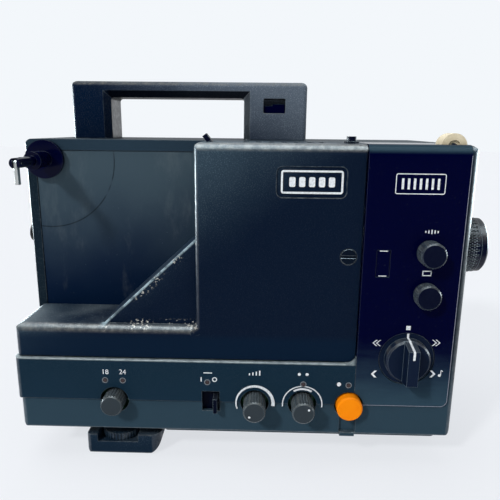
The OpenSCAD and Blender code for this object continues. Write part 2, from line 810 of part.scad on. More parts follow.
module sound_head() {
    color("#7f868a")
    put() union() {
        py([fly_x - 23, fly_x - 9], [fly_z - 9, fly_z + 7], [board_y + board_t + 4, ch_y0], [2, 2, 2, 2]);
        py([fly_x - 9, fly_x - 5], [fly_z - 3, fly_z + 3], [board_y + board_t + 6, ch_y0 - 16], [1, 1, 1, 1]);
    }
}

module pinch_arm() {
    color("#5d6366")
    put() difference() {
        union() {
            ry(arm_x, arm_z, [ch_y0 - 16, ch_y0 - 13], 5);
            ry(pinch_x, fly_z, [ch_y0 - 16, ch_y0 - 13], 4);
            ry(pinch_x, fly_z, [board_y + board_t + 3, ch_y0 - 14], 1.5);
            translate([pinch_x, ch_y0 - 13.4, fly_z])
                rotate([90, atan2(fly_z - arm_z, arm_x - pinch_x), 0])
                    linear_extrude(height = 2.2)
                        translate([0, -2.6])
                            square([norm([arm_x - pinch_x, fly_z - arm_z]), 5.2]);
        }
        ry(arm_x, arm_z, [ch_y0 - 20, ch_y0], 2.5 + run);
    }
}

module pinch_roller() {
    color("#222426")
    put() difference() {
        ry(pinch_x, fly_z, [board_y + board_t + 4, ch_y0 - 16.4], pinch_r);
        ry(pinch_x, fly_z, [board_y, ch_y0], 1.5 + run);
    }
}

module lamp() {
    color("#dfe3e4")
    put() translate([shutter_x - 42, lens_y, lens_z])
        rotate([90, 0, 90])
            rotate_extrude()
                polygon([[0, -4], [5, -4], [5, 0], [9, 1.5], [mirror_r - 7.5, 4.4], [mirror_r - 3.5, 9.5],
                    [mirror_r, 17], [mirror_r, 20], [mirror_r - 0.9, 20], [mirror_r - 1.3, 17.3],
                    [mirror_r - 4.5, 10.4], [mirror_r - 8.1, 5.8], [8.5, 3], [4.5, 1.6], [4.5, 12],
                    [3, 14.5], [0, 15]]);
}

module lamp_socket() {
    color("#cfc8b4")
    put() difference() {
        bx([shutter_x - 58, shutter_x - 43], [lens_y - 9, ch_y0], [lens_z - 9, lens_z + 9]);
        rx(lens_y, lens_z, [shutter_x - 46, shutter_x - 40], 5.1);
    }
}

module film_gate() {
    color("#c4c8ca")
    put() difference() {
        px([lens_y - 14, ch_y0], [lens_z - 30, lens_z + 30], [gate_x, gate_x + 3], [3, 0, 0, 3]);
        bx([gate_x - 1, gate_x + 4], [lens_y - 2.9, lens_y + 2.9], [lens_z - 3.6, lens_z + 3.6]);
    }
}

module pressure_plate() {
    color("#8f9598")
    put() difference() {
        px([lens_y - 8, ch_y0], [lens_z - 20, lens_z + 20], [gate_x + 3.3, gate_x + 5.3], [2, 0, 0, 2]);
        bx([gate_x + 2, gate_x + 7], [lens_y - 3.2, lens_y + 3.2], [lens_z - 4, lens_z + 4]);
    }
}

module frame_mask() {
    color("#2b2f31")
    put() difference() {
        px([lens_y - 10, lens_y + 12], [lens_z - 14, lens_z + 14], [gate_x - 1.8, gate_x - 0.3]);
        bx([gate_x - 3, gate_x + 1], [lens_y - 2.7, lens_y + 2.7], [lens_z - 2, lens_z + 2]);
    }
}

module lens_barrel() {
    color("#1a1c1e")
    put() difference() {
        union() {
            rx(lens_y, lens_z, [sleeve_x0 + 4, ring_x1 + 1], barrel_r);
            rx(lens_y, lens_z, [ring_x1 + gap, lens_tip - 1.2], ring_r - 0.4);
            translate([lens_tip - 1.2, lens_y, lens_z])
                rotate([0, 90, 0])
                    cylinder(h = 1.2, r1 = ring_r - 0.4, r2 = ring_r - 1.6);
            bx([focus_x - 14, focus_x + 14], [lens_y - barrel_r - 7.6, lens_y - barrel_r + 3.4],
                [lens_z - pinion_r - 5.2, lens_z - pinion_r - 1]);
            for (i = [-5 : 5])
                translate([focus_x + i * 2 * PI * pinion_r / pinion_n, lens_y - barrel_r - 3.8,
                    lens_z - pinion_r])
                    rotate([90, 0, 0])
                        linear_extrude(height = 3.8)
                            polygon([[-0.62, -1.1], [0.62, -1.1], [0.28, 0.5], [-0.28, 0.5]]);
        }
        rx(lens_y, lens_z, [sleeve_x0, lens_tip - 5], barrel_r - 3);
        rx(lens_y, lens_z, [lens_tip - 6.2, lens_tip - 3], barrel_r - 1);
        translate([lens_tip - 3.1, lens_y, lens_z])
            rotate([0, 90, 0])
                cylinder(h = 3.2, r1 = barrel_r - 1, r2 = barrel_r + 2);
    }
}

module lens_elements() {
    color("#7f8fa3")
    put() union() {
        intersection() {
            rx(lens_y, lens_z, [sleeve_x0 + 6, sleeve_x0 + 12], barrel_r - 3 - run);
            translate([sleeve_x0 + 36, lens_y, lens_z])
                sphere(r = 30, $fn = 240);
        }
        intersection() {
            rx(lens_y, lens_z, [lens_tip - 6, lens_tip - 2.5], barrel_r - 1 - run);
            translate([lens_tip - 43.2, lens_y, lens_z])
                sphere(r = 40, $fn = 240);
        }
    }
}

module zoom_ring() {
    color("#17191b")
    put() difference() {
        rx(lens_y, lens_z, [ring_x0, ring_x1], ring_r);
        rx(lens_y, lens_z, [ring_x0 - 1, ring_x1 + 1], barrel_r + run);
        for (i = [0 : 35])
            translate([0, lens_y, lens_z])
                rotate([i * 10, 0, 0])
                    bx([ring_x0 - 1, ring_x1 - 1.5], [ring_r - 0.8, ring_r + 1], [-0.6, 0.6]);
    }
}

module lens_mount() {
    color("#9ba1a4")
    put() difference() {
        union() {
            rx(lens_y, lens_z, [sleeve_x0, sleeve_x1], sleeve_r);
            bx([sleeve_x0 + 20, sleeve_x1 - 10], [lens_y + 10, ch_y0], [lens_z - 13, lens_z + 13]);
            ry(screw_x, screw_z, [5.5, lens_y - 10], 5);
        }
        rx(lens_y, lens_z, [sleeve_x0 - 1, sleeve_x1 + 1], barrel_r + run);
        ry(screw_x, screw_z, [4, lens_y - barrel_r - 1.5], 2.5 + gap);
        bx([focus_x - 14 - focus_travel - 1, focus_x + 14 + focus_travel + 1], [0, lens_y - barrel_r + 4],
            [lens_z - pinion_r - 6, lens_z - pinion_r + 6]);
    }
}

module focus_knob() {
    color("#15171a")
    put() union() {
        ribbed_knob(focus_x, lens_z, [panel_y0 - focus_out, panel_y0 - gap], small_knob_r, 30);
        ry(focus_x, lens_z, [panel_y0 - 1, lens_y - barrel_r - 3.8], 3);
        for (i = [0 : pinion_n - 1])
            translate([focus_x, lens_y - barrel_r - 3.8, lens_z])
                rotate([90, (i + 0.5) * 360 / pinion_n, 0])
                    linear_extrude(height = 3.8)
                        polygon([[-0.62, 2.6], [0.62, 2.6], [0.24, pinion_r + 0.5], [-0.24, pinion_r + 0.5]]);
    }
}

module frame_knob() {
    color("#15171a")
    put() union() {
        ribbed_knob(frame_x, frame_z, [panel_y0 - frame_out, panel_y0 - gap], small_knob_r, 30);
        ry(frame_x, frame_z, [panel_y0 - 1, panel_y1 + 12], 3);
        ry(frame_x, frame_z, [panel_y1 + 1, panel_y1 + 3], 5);
    }
}

module function_knob() {
    color("#121417")
    put() union() {
        ry(function_x, function_z, [panel_y0 + 0.8, panel_y1], function_r);
        ry(function_x, function_z, [panel_y0 - 4.5, panel_y0 + 1], 15.2);
        translate([function_x, panel_y0 - 4.5, function_z])
            rotate([90, 0, 0])
                cylinder(h = 1.2, r1 = 15.2, r2 = 14);
        ry(function_x, function_z, [panel_y1 - 1, panel_y1 + 14], 4);
        translate([function_x - 3.75, 0, function_z])
            rotate([90, 0, 90])
                linear_extrude(height = 7.5)
                    polygon([[panel_y0 - 4, -14.6], [panel_y0 - 4, 14.6], [panel_y0 - 5.5, 14.6],
                        [panel_y0 - function_out, 12.4], [panel_y0 - function_out, -12.4],
                        [panel_y0 - 5.5, -14.6]]);
    }
}

module function_switch() {
    color("#d4cfbd")
    put() difference() {
        ry(function_x, function_z, [panel_y1 + 3, panel_y1 + 18], 14);
        ry(function_x, function_z, [panel_y1 + 2, panel_y1 + 16], 4 + run);
    }
}

// Knob of the band with its shaft
module band_knob(x) {
    union() {
        ribbed_knob(x, z_seam, [panel_y0 - band_knob_out, 3], band_knob_r, 24);
        ry(x, z_seam, [2, 9], 3);
    }
}

module volume_knob() {
    color("#1b1e21")
    put() band_knob(volume_x);
}

module mix_knob() {
    color("#1b1e21")
    put() band_knob(mix_x);
}

module speed_button() {
    color("#1b1e21")
    put() union() {
        ribbed_knob(speed_x, z_seam, [panel_y0 - speed_out, 2], band_knob_r, 24);
        ry(speed_x, z_seam, [1, 7.5], 2.5);
    }
}

module rec_button() {
    color("#ff8c0a")
    put() union() {
        ry(rec_x, z_seam, [panel_y0 - rec_out + 1, 2], rec_r);
        translate([rec_x, panel_y0 - rec_out + 1, z_seam])
            rotate([90, 0, 0])
                cylinder(h = 1, r1 = rec_r, r2 = rec_r - 1);
        ry(rec_x, z_seam, [1, 7.5], 2.5);
    }
}

module power_slider() {
    color("#101214")
    put() union() {
        bx([power_x + 1.9, power_x + 4.9], [panel_y0 - 4.5, 3], [power_z[0] + 1, power_z[1] - 4]);
        bx([power_x - 12.4, power_x + 12.4], [2.6, 3.8], [power_z[0] - 1, power_z[1] + 1]);
    }
}

module amplifier_board() {
    color("#2f5a3c")
    put() difference() {
        union() {
            bx([xl + 31, rec_x + 15], [board_y, board_y + board_t], [z_floor, z_band - 3]);
            for (x = [volume_x, mix_x])
                ry(x, z_seam, [4.4, board_y + 0.5], 8.5);
            for (x = [speed_x, rec_x])
                bx([x - 6, x + 6], [5.5, board_y + 0.5], [z_seam - 6, z_seam + 6]);
            bx([power_x - 9, power_x + 9], [4.2, board_y + 0.5], [z_seam - 5, z_seam + 6]);
            for (x = [-40, 10, 60])
                ry(x, z_seam - 9, [board_y + board_t - 0.5, board_y + board_t + 18], 6);
            bx([-30, 0], [board_y + board_t - 0.5, board_y + board_t + 14], [z_seam - 6, z_seam + 18]);
        }
        for (x = [volume_x, mix_x])
            ry(x, z_seam, [4, 9.5], 3 + run);
        for (x = [speed_x, rec_x])
            ry(x, z_seam, [5, board_y - 0.5], 2.5 + run);
    }
}

module leds() {
    color("#b63226")
    put() for (x = led_x)
        ry(x, led_z, [panel_y0 - 0.5, board_y], 1.4);
}

module transformer() {
    color("#5a5148")
    put() union() {
        bx([cover_x0 - 22.8, cover_x0 + 10.2], [yb - 73, yb - 18], [z_floor, z_floor + 58]);
        bx([cover_x0 - 19, cover_x0 + 6.4], [yb - 63, yb - 28], [z_floor + 57, z_floor + 66]);
    }
}

module mains_inlet() {
    color("#0e1012")
    put() difference() {
        py([inlet_x - 14, inlet_x + 14], [inlet_z - 10, inlet_z + 10], [yb - 22, yb]);
        difference() {
            py([inlet_x - 11.5, inlet_x + 11.5], [inlet_z - 7.5, inlet_z + 7.5], [yb - 14, yb + 1],
                [0, 0, 4, 4]);
            for (s = [-1, 0, 1])
                bx([inlet_x + s * 7 - 1, inlet_x + s * 7 + 1], [yb - 15, yb - 3],
                    [inlet_z - 2 + (s == 0 ? 3 : 0), inlet_z + 2 + (s == 0 ? 3 : 0)]);
        }
    }
}

module audio_sockets() {
    color("#111315")
    put() union() {
        for (x = din_x)
            difference() {
                ry(x, inlet_z, [yb - 14, yb], 8);
                ry(x, inlet_z, [yb - 2, yb + 1], 6.6);
                for (a = [0 : 45 : 180])
                    ry(x + 3.6 * cos(a), inlet_z + 3.6 * sin(a), [yb - 8, yb + 1], 0.9);
            }
        difference() {
            rx(side_y, side_z, [xl - side_out, xl + 10], side_r);
            rx(side_y, side_z, [xl - side_out - 1, xl - side_out + 1.5], 4.8);
            rx(side_y - 1.8, side_z, [xl - side_out - 1, xl + 4], 1);
            rx(side_y + 1.8, side_z, [xl - side_out - 1, xl + 4], 1);
        }
    }
}

module film_roller() {
    color("#e8dfc4")
    put() difference() {
        ry(roller_x, roller_z, [roller_y, roller_y + roller_w], roller_r);
        ry(roller_x, roller_z, [roller_y - 1, roller_y + roller_w + 1], 2 + run);
        ry(roller_x, roller_z, [roller_y - 1, roller_y + 1.5], 4);
    }
}

module coin_screw() {
    color("#4a5054")
    put() difference() {
        union() {
            ry(screw_x, screw_z, [-0.4, 1.7], 5.2);
            ry(screw_x, screw_z, [1, lens_y - barrel_r - 2], 2.5);
        }
        bx([screw_x - 6, screw_x + 6], [-1, 0.8], [screw_z - 0.9, screw_z + 0.9]);
    }
}

module cover_latch() {
    color("#131518")
    put() translate([cover_x0 + 10, top_r + 5, z_top - 0.6])
        rotate([0, -38, 0])
            union() {
                bx([-1.6, 1.6], [-3.4, 3.4], [-2.4, 6.4]);
                rotate([90, 0, 0])
                    translate([0, 0, -3.7])
                        cylinder(h = 7.4, r = 1.2);
            }
}

module top_slider() {
    color("#131518")
    put() union() {
        bx([cover_x0 + 98, cover_x0 + 106.8], [top_r + 0.6, top_r + 7.4], [z_top + gap, z_top + 1.3]);
        pz([cover_x0 + 99.4, cover_x0 + 105.4], [top_r + 1, top_r + 7], [z_top + 1.2, z_top + 4.4], [2, 2, 2, 2]);
        bx([cover_x0 + 100.4, cover_x0 + 104.4], [top_r + 2.5, top_r + 5.5], [z_top - wall - 0.4, z_top + 1]);
        bx([cover_x0 + 98.4, cover_x0 + 106.4], [top_r + 0.6, top_r + 7.4], [z_top - wall - 1.4, z_top - wall - gap]);
    }
}

module panel_key() {
    color("#0e1114")
    put() union() {
        py([key_x - 4.3, key_x + 4.3], [key_z - 9, key_z + 9], [panel_y0 + 0.5, panel_y1 + 1.5]);
        py([key_x - 6, key_x + 6], [key_z - 10.6, key_z + 10.6], [panel_y1 + gap, panel_y1 + 1.5]);
    }
}

// Adjustable foot with its notch and two guide pins
module boot(y0, notch_y, pin_y, wheel_y) {
    difference() {
        union() {
            block([boot_x - boot_w / 2, boot_x + boot_w / 2], [y0, y0 + boot_d], [0, boot_h], [5, 12, 1, 1],
                [4, 8, 3, 3], [2, 2, 1, 1]);
            for (s = [-1, 1])
                rz(boot_x + s * guide_off, pin_y, [boot_h - 1, z_floor + 14], guide_r);
        }
        bx([wheel_x - wheel_r - 0.6, wheel_x + wheel_r + 0.6], notch_y, [wheel_z - 0.4, boot_h + 1]);
        rz(wheel_x, wheel_y, [3, wheel_z + 1], 3 + run);
    }
}

module front_foot() {
    color("#1d2022")
    put() boot(front_boot_y, [front_boot_y - 1, front_boot_y + wheel_set + 2 * wheel_r + 0.6],
        front_boot_y + boot_d - 6, front_boot_y + wheel_set + wheel_r);
}

module rear_foot() {
    color("#1d2022")
    put() boot(rear_boot_y, [rear_boot_y + boot_d - wheel_set - 2 * wheel_r - 0.6, rear_boot_y + boot_d + 1],
        rear_boot_y + 6, rear_boot_y + boot_d - wheel_set - wheel_r);
}

// Knurled wheel on its threaded stud
module foot_wheel(y) {
    difference() {
        union() {
            rz(wheel_x, y, [wheel_z, wheel_z + wheel_t], wheel_r);
            rz(wheel_x, y, [wheel_z + 1, stud_top], stud_r);
            rz(wheel_x, y, [3.4, wheel_z + 1], 3);
        }
        for (i = [0 : 35])
            translate([wheel_x, y, 0])
                rotate([0, 0, i * 10])
                    bx([wheel_r - 0.7, wheel_r + 1], [-0.6, 0.6], [wheel_z - 1, wheel_z + wheel_t + 1]);
    }
}

module front_foot_wheel() {
    color("#2c3033")
    put() foot_wheel(front_boot_y + wheel_set + wheel_r);
}

module rear_foot_wheel() {
    color("#2c3033")
    put() foot_wheel(rear_boot_y + boot_d - wheel_set - wheel_r);
}

module foot_pads() {
    color("#191a1b")
    put() for (y = pad_y)
        rz(pad_x, y, [0, 4], 10);
}

module housing_screws() {
    color("#8f9598")
    put() for (x = screw_px)
        for (z = screw_pz)
            difference() {
                union() {
                    ry(x, z, [yb - 1.6, yb - 0.2], 3.4);
                    ry(x, z, [yb - 9, yb - 1], 1.9);
                }
                bx([x - 2.6, x + 2.6], [yb - 1, yb + 1], [z - 0.4, z + 0.4]);
            }
}

main_housing();
rear_housing();
reel_plate();
chassis_plate();
front_cover();
control_panel();
audio_panel();
handle();
trimmer_button();
takeup_spindle();
reel_lock_lever();
takeup_pulley();
takeup_belt();
takeup_drive();
main_shaft();
shutter();
shaft_bearings();
drive_belt();
motor();
motor_bracket();
motor_shaft();
fan();
flywheel();
sound_head();
pinch_arm();
pinch_roller();
lamp();
lamp_socket();
film_gate();
pressure_plate();
frame_mask();
lens_barrel();
lens_elements();
zoom_ring();
lens_mount();
focus_knob();
frame_knob();
function_knob();
function_switch();
volume_knob();
mix_knob();
speed_button();
rec_button();
power_slider();
amplifier_board();
leds();
transformer();
mains_inlet();
audio_sockets();
film_roller();
coin_screw();
cover_latch();
top_slider();
panel_key();
front_foot();
rear_foot();
front_foot_wheel();
rear_foot_wheel();
foot_pads();
housing_screws();
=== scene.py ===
# %% [markdown]
# # A sound film projector, dressed piece by piece
#
# The shapes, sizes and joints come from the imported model, which is loaded as a fixed frame.
# This lesson adds what a camera sees: moulded grain, gloss, dust, printed marks and light.
# Every step is a short cell, so that it can be read and run in order.

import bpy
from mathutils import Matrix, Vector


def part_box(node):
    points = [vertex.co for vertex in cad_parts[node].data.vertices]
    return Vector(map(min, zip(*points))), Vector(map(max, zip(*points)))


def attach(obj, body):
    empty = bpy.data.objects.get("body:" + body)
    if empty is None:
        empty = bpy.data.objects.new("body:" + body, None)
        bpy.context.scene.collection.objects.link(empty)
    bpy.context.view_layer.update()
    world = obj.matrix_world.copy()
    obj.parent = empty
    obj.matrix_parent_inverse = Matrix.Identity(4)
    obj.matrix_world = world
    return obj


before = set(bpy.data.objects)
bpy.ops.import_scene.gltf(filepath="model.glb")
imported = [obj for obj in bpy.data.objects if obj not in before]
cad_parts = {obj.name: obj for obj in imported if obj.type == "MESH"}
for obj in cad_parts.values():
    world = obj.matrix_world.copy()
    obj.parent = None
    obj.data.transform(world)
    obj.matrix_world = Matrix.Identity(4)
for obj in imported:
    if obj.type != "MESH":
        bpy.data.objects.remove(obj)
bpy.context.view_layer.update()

# %% [markdown]
# ## One drawing frame
#
# The drawing of the projector counts millimetres from the middle of the body and from the face of
# the film cover. The frame counts metres from the middle of the outer box. One small function
# turns the first into the second, so that every mark below can be written as on the drawing.

# %% Drawing coordinates to frame coordinates
import math

import bmesh
import bpy
from mathutils import Matrix, Vector

MID_X, MID_Y = 5.35, 69.25
PANEL_Y = -2.5


def at(x, y, z):
    return Vector(((x - MID_X) / 1000, (y - MID_Y) / 1000, z / 1000))


print("panel face at", tuple(round(v, 4) for v in at(0, PANEL_Y, 0)))

# %% [markdown]
# ## The camera
#
# The viewing angle was solved from the straight edges of the real object: a little above it,
# tilted down by 13 degrees and turned by just over one. The three axes of the camera are built
# from those angles, which is easier to check than a set of Euler turns.

# %% Camera
CAMERA_PLACE = Vector((0.01315, -0.40425, 0.2380))
PITCH, YAW, ROLL = (math.radians(a) for a in (13.2, 1.35, 0.6))
FOCAL_PIXELS, IMAGE_PIXELS, SENSOR = 515, 500, 36

ahead = Vector((-math.sin(YAW) * math.cos(PITCH), math.cos(YAW) * math.cos(PITCH), -math.sin(PITCH)))
level_right = ahead.cross(Vector((0, 0, 1))).normalized()
level_down = ahead.cross(level_right)
image_right = math.cos(ROLL) * level_right - math.sin(ROLL) * level_down
image_down = math.sin(ROLL) * level_right + math.cos(ROLL) * level_down

lens = bpy.data.cameras.new("viewer")
lens.sensor_width = SENSOR
lens.lens = FOCAL_PIXELS / IMAGE_PIXELS * SENSOR
lens.clip_start = 0.01
viewer = bpy.data.objects.new("viewer", lens)
axes = Matrix((image_right, -image_down, -ahead)).transposed()
viewer.matrix_world = Matrix.Translation(CAMERA_PLACE) @ axes.to_4x4()
bpy.context.collection.objects.link(viewer)
bpy.context.scene.camera = viewer
print("lens", round(lens.lens, 2), "mm")

# %% [markdown]
# ## Shader sums
#
# A material is a graph, but most of it is arithmetic. A wire is the output of a node that can be
# added, subtracted or multiplied like a number, and each operation adds its Math node. A finish
# then reads like a sum on paper, which is easier to follow than a net of links.

# %% Wires


class Wire:
    def __init__(self, graph, socket):
        self.graph, self.socket = graph, socket

    def port(self, name):
        """Another output of the same node."""
        return Wire(self.graph, self.socket.node.outputs[name])

    def math(self, operation, first, second):
        return self.graph.add("ShaderNodeMath", {"operation": operation}, {0: first, 1: second})

    def __add__(self, other):
        return self.math("ADD", self, other)

    def __radd__(self, other):
        return self.math("ADD", other, self)

    def __sub__(self, other):
        return self.math("SUBTRACT", self, other)

    def __rsub__(self, other):
        return self.math("SUBTRACT", other, self)

    def __mul__(self, other):
        return self.math("MULTIPLY", self, other)

    def __rmul__(self, other):
        return self.math("MULTIPLY", other, self)

    def __pow__(self, other):
        return self.math("POWER", self, other)

    def __abs__(self):
        return self.math("ABSOLUTE", self, 0)


print("wires ready")

# %% [markdown]
# ## One way to add a node
#
# All other nodes come from one method, which sets a node's options first and then its values or
# links. A value may be a plain number or a wire, so nothing below has to tell the two apart. The
# same graph serves for materials and, at the end, for the world.

# %% Graphs


class Graph:
    def __init__(self, tree):
        self.tree = tree
        self.tree.nodes.clear()

    def add(self, kind, options=None, inputs=None, out=0):
        node = self.tree.nodes.new(kind)
        for name, value in (options or {}).items():
            setattr(node, name, value)
        for key, value in (inputs or {}).items():
            self.feed(node.inputs[key], value)
        return Wire(self, node.outputs[out])

    def feed(self, socket, value):
        if isinstance(value, Wire):
            self.tree.links.new(value.socket, socket)
        else:
            socket.default_value = value

    def split(self, vector, name):
        return self.add("ShaderNodeSeparateXYZ", None, {0: vector}, name)


print("graph ready")

# %% [markdown]
# ## Finishes
#
# A finish is a graph with one Principled shader, as each piece is of one material. Its methods
# name what is asked for again and again: a coordinate, a noise, a soft step, a mix of two tones, a
# rounded edge, a bump. Coordinates are those of the piece, in metres, so that the pattern stays on
# a piece when it moves.

# %% Finishes


class Finish(Graph):
    def __init__(self, name):
        self.material = bpy.data.materials.new(name)
        self.material.use_nodes = True
        super().__init__(self.material.node_tree)
        self.shader = self.tree.nodes.new("ShaderNodeBsdfPrincipled")
        self.output = self.tree.nodes.new("ShaderNodeOutputMaterial")
        self.tree.links.new(self.shader.outputs[0], self.output.inputs[0])

    def set(self, **values):
        for name, value in values.items():
            self.feed(self.shader.inputs[name.replace("_", " ")], value)
        return self.material

    def place(self):
        return self.add("ShaderNodeTexCoord", out="Object")

    def axis(self, name):
        return self.split(self.place(), name)

    def face(self):
        return self.add("ShaderNodeNewGeometry", out="True Normal")

    def noise(self, scale, detail, rough=0.5, stretch=None):
        spot = self.place()
        if stretch:
            spot = self.add("ShaderNodeMapping", None, {"Vector": spot, "Scale": stretch})
        return self.add("ShaderNodeTexNoise", None,
                        {"Vector": spot, "Scale": scale, "Detail": detail, "Roughness": rough})

    def ease(self, value, low, high):
        """A soft step from nought at low to one at high."""
        return self.add("ShaderNodeMapRange", {"interpolation_type": "SMOOTHSTEP"},
                        {0: value, 1: low, 2: high, 3: 0.0, 4: 1.0})

    def between(self, value, rise, fall):
        """One between two soft steps, each given by its two limits."""
        return self.ease(value, *rise) * (1 - self.ease(value, *fall))

    def mix(self, amount, first, second):
        return self.add("ShaderNodeMix", {"data_type": "RGBA"}, {0: amount, 6: first, 7: second}, 2)

    def dot(self, first, second):
        return self.add("ShaderNodeVectorMath", {"operation": "DOT_PRODUCT"},
                        {0: first, 1: second}, "Value")

    def soft_edge(self, radius):
        return self.add("ShaderNodeBevel", {"samples": 6}, {"Radius": radius})

    def edge(self, rounded, low, high):
        """One where the rounded normal leaves the flat one."""
        return self.ease(1 - self.dot(rounded, self.face()), low, high)

    def bump(self, height, depth, normal, strength=1.0):
        return self.add("ShaderNodeBump", None, {"Height": height, "Distance": depth,
                                                 "Strength": strength, "Normal": normal})


print("finish ready")

# %% [markdown]
# ## Moulded plastic
#
# Most of the casing is injection-moulded plastic with a fine leather-like grain. The grain is a
# bump, and its crests are painted a little paler, as painted glints. The tone is painted along a
# slope, a painted light and shade that makes one end of a moulding paler than the other. Where the
# rounded normal leaves the flat one there is an edge, painted paler: noise breaks it into scuffs,
# and on the knobs it stays whole as a painted highlight of the rim. Roundings on the front are
# polished by hands: a clear coat on them alone catches the soft boxes, which draws the bright lines
# of the edges and leaves the faces black. Roundings that turn up are painted a grey brown, partly
# dust and partly a painted sheen, and dust lies on faces that look up. One function makes all the
# black mouldings from these ideas, and a moulding with marks of its own, of wear and of painted
# light and shade, hands in a function that paints them.

# %% The moulded finish
SCUFF_AND_SHEEN = (0.20, 0.27, 0.31, 1)
DUST = (0.29, 0.34, 0.36, 1)
DUST_AND_SHEEN = (0.23, 0.22, 0.19, 1)
# Limits of soft steps: how far a normal has turned before the step begins, and where it ends.
UPWARD = (0.55, 0.98)
EDGE_TURN = (0.012, 0.10)
FRONT_ROUNDING = ((0.02, 0.25), (0.96, 0.995))
TOP_ROUNDING = ((0.15, 0.5), (0.88, 0.995))
# Scales of noise, in lumps for each metre.
DRIFT, STREAK, RUB, SPECK = 28.0, 90.0, 260.0, 900.0
# The chute's slope, in mm.
CHUTE_RUN, CHUTE_RISE = 66.0, 62.0
CHUTE_LENGTH = math.hypot(CHUTE_RUN, CHUTE_RISE)
CHUTE_NORMAL = (-CHUTE_RISE / CHUTE_LENGTH, 0.0, CHUTE_RUN / CHUTE_LENGTH)


def moulded(name, tone, haze, rise, lean=0.0, rough=0.48, grain=1300.0, depth=0.05, round_mm=0.7,
            pale_edges=0.5, ragged=1.0, dust=0.3, facing=UPWARD, sparkle=0.25, glint=SCUFF_AND_SHEEN, shine=0.05,
            polish=1.0, top_sheen=0.2, sharp=False, marks=None):
    """Black moulding with a painted light and shade from tone to haze over the rise, two heights in mm
    on a leaning axis.

    A sharp one is polished at its edges and on its right side only.
    """
    f = Finish(name)
    rounded = f.soft_edge(round_mm / 1000)
    face = f.face()
    drift = f.noise(DRIFT, 4.0)
    # The slope from tone to haze is a painted light and shade.
    level = f.axis("Z") + lean * f.axis("X") + 0.03 * (drift - 0.5)
    height = f.ease(level, rise[0] / 1000, rise[1] / 1000)
    colour = f.mix(height, tone, haze)

    # Crests of the grain are painted paler, painted glints that follow the painted light.
    pebble = f.noise(grain, 2.0, 0.45)
    crest = f.ease(pebble, 0.50, 0.72)
    colour = f.mix(crest * (0.12 + 0.88 * height) * sparkle, colour, glint)
    # Edges are painted paler: scuffs where the noise is ragged, and a painted highlight where it is
    # not, as on the knobs.
    edge = f.edge(rounded, *EDGE_TURN)
    rub = f.ease(f.noise(RUB, 5.0, 0.65), 0.36, 0.70)
    colour = f.mix(edge * (1 - ragged + ragged * rub) * pale_edges, colour, SCUFF_AND_SHEEN)

    turned = f.split(rounded, "Z")
    rounding = f.between(-1 * turned.port("Y"), *FRONT_ROUNDING)
    if sharp:
        rounding = rounding * edge + f.ease(turned.port("X"), 0.9, 0.99)
    on_chute = f.ease(f.dot(face, CHUTE_NORMAL), 0.985, 0.997)
    # Roundings that turn up are painted grey brown, partly dust and partly a painted sheen.
    dusted_sheen = f.between(turned, *TOP_ROUNDING) * (1 - on_chute)
    colour = f.mix(dusted_sheen * (0.35 + 0.65 * rub) * top_sheen, colour, DUST_AND_SHEEN)

    specks = f.ease(f.noise(SPECK, 2.0, 0.5), 0.58, 0.76) + 0.55 * f.ease(drift, 0.3, 0.7)
    settled = f.ease(f.split(face, "Z"), *facing) * specks * dust * (1 - 0.7 * on_chute)
    colour = f.mix(settled, colour, DUST)
    if marks:
        colour = marks(f, colour)
    streak = f.noise(STREAK, 3.0, 0.6)
    return f.set(Base_Color=colour, Roughness=rough + 0.12 * (streak - 0.5) + 0.25 * settled,
                 Normal=f.bump(pebble, depth / 1000, rounded), Specular_IOR_Level=shine,
                 Coat_Weight=rounding * (0.55 + 0.45 * rub) * polish, Coat_Roughness=0.28)


print("moulded finish ready, chute slope", round(math.degrees(math.atan2(CHUTE_RISE, CHUTE_RUN)), 1))

# %% [markdown]
# ## Wear where film has run, and dust and a painted highlight on the band
#
# Film and its dust have rubbed the chute pale along its sloping edge, and lint has gathered in the
# corner where the chute meets the ledge. The distance of a point from that edge is a sum of its two
# coordinates, so two sums and some noise paint the worn line and the flecks beside it. The front of
# the ledge is darker than the rest of the cover. On the control band the top edge is painted pale up
# to the corner of the lens panel, partly dust and partly a painted highlight of the edge.

# %% Wear of the chute, and dust and a painted highlight on the band
CHUTE_FOOT = at(-92.4, 6.5, 103.3)
CHUTE_END = CHUTE_LENGTH / 1000
LEDGE_DARK = (0.0006, 0.0100, 0.0290, 1)
PALE_RUB = (0.42, 0.56, 0.62, 1)
LINT = (0.72, 0.70, 0.64, 1)
BAND_DUST_AND_SHEEN = (0.30, 0.35, 0.36, 1)


def chute_wear(f, colour):
    low = 1 - f.ease(f.axis("Z"), 0.093, 0.100)
    colour = f.mix(low * 0.75, colour, LEDGE_DARK)
    right, up = CHUTE_RUN / CHUTE_LENGTH, CHUTE_RISE / CHUTE_LENGTH
    x, z = f.axis("X") - CHUTE_FOOT.x, f.axis("Z") - CHUTE_FOOT.z
    off = abs(z * right - x * up)
    along = x * right + z * up
    front = 1 - f.ease(f.axis("Y") - CHUTE_FOOT.y, 0.0006, 0.0022)
    on_edge = f.between(along, (-0.004, 0.001), (CHUTE_END - 0.003, CHUTE_END + 0.001)) * front
    rub = f.ease(f.noise(150.0, 5.0, 0.7), 0.38, 0.60)
    line = on_edge * (1 - f.ease(off, 0.0006, 0.0021))
    colour = f.mix(line * (0.2 + 0.7 * rub), colour, PALE_RUB)
    flecks = f.ease(f.noise(520.0, 3.0, 0.6), 0.56, 0.64) * f.ease(f.noise(70.0, 2.0), 0.42, 0.58)
    beside = on_edge * (1 - f.ease(off, 0.0010, 0.0065))
    colour = f.mix(beside * flecks * 0.8, colour, LINT)
    in_corner = f.between(x, (0.0, 0.004), (0.064, 0.068)) * (1 - f.ease(abs(z), 0.0008, 0.0045))
    return f.mix(in_corner * flecks, colour, LINT)


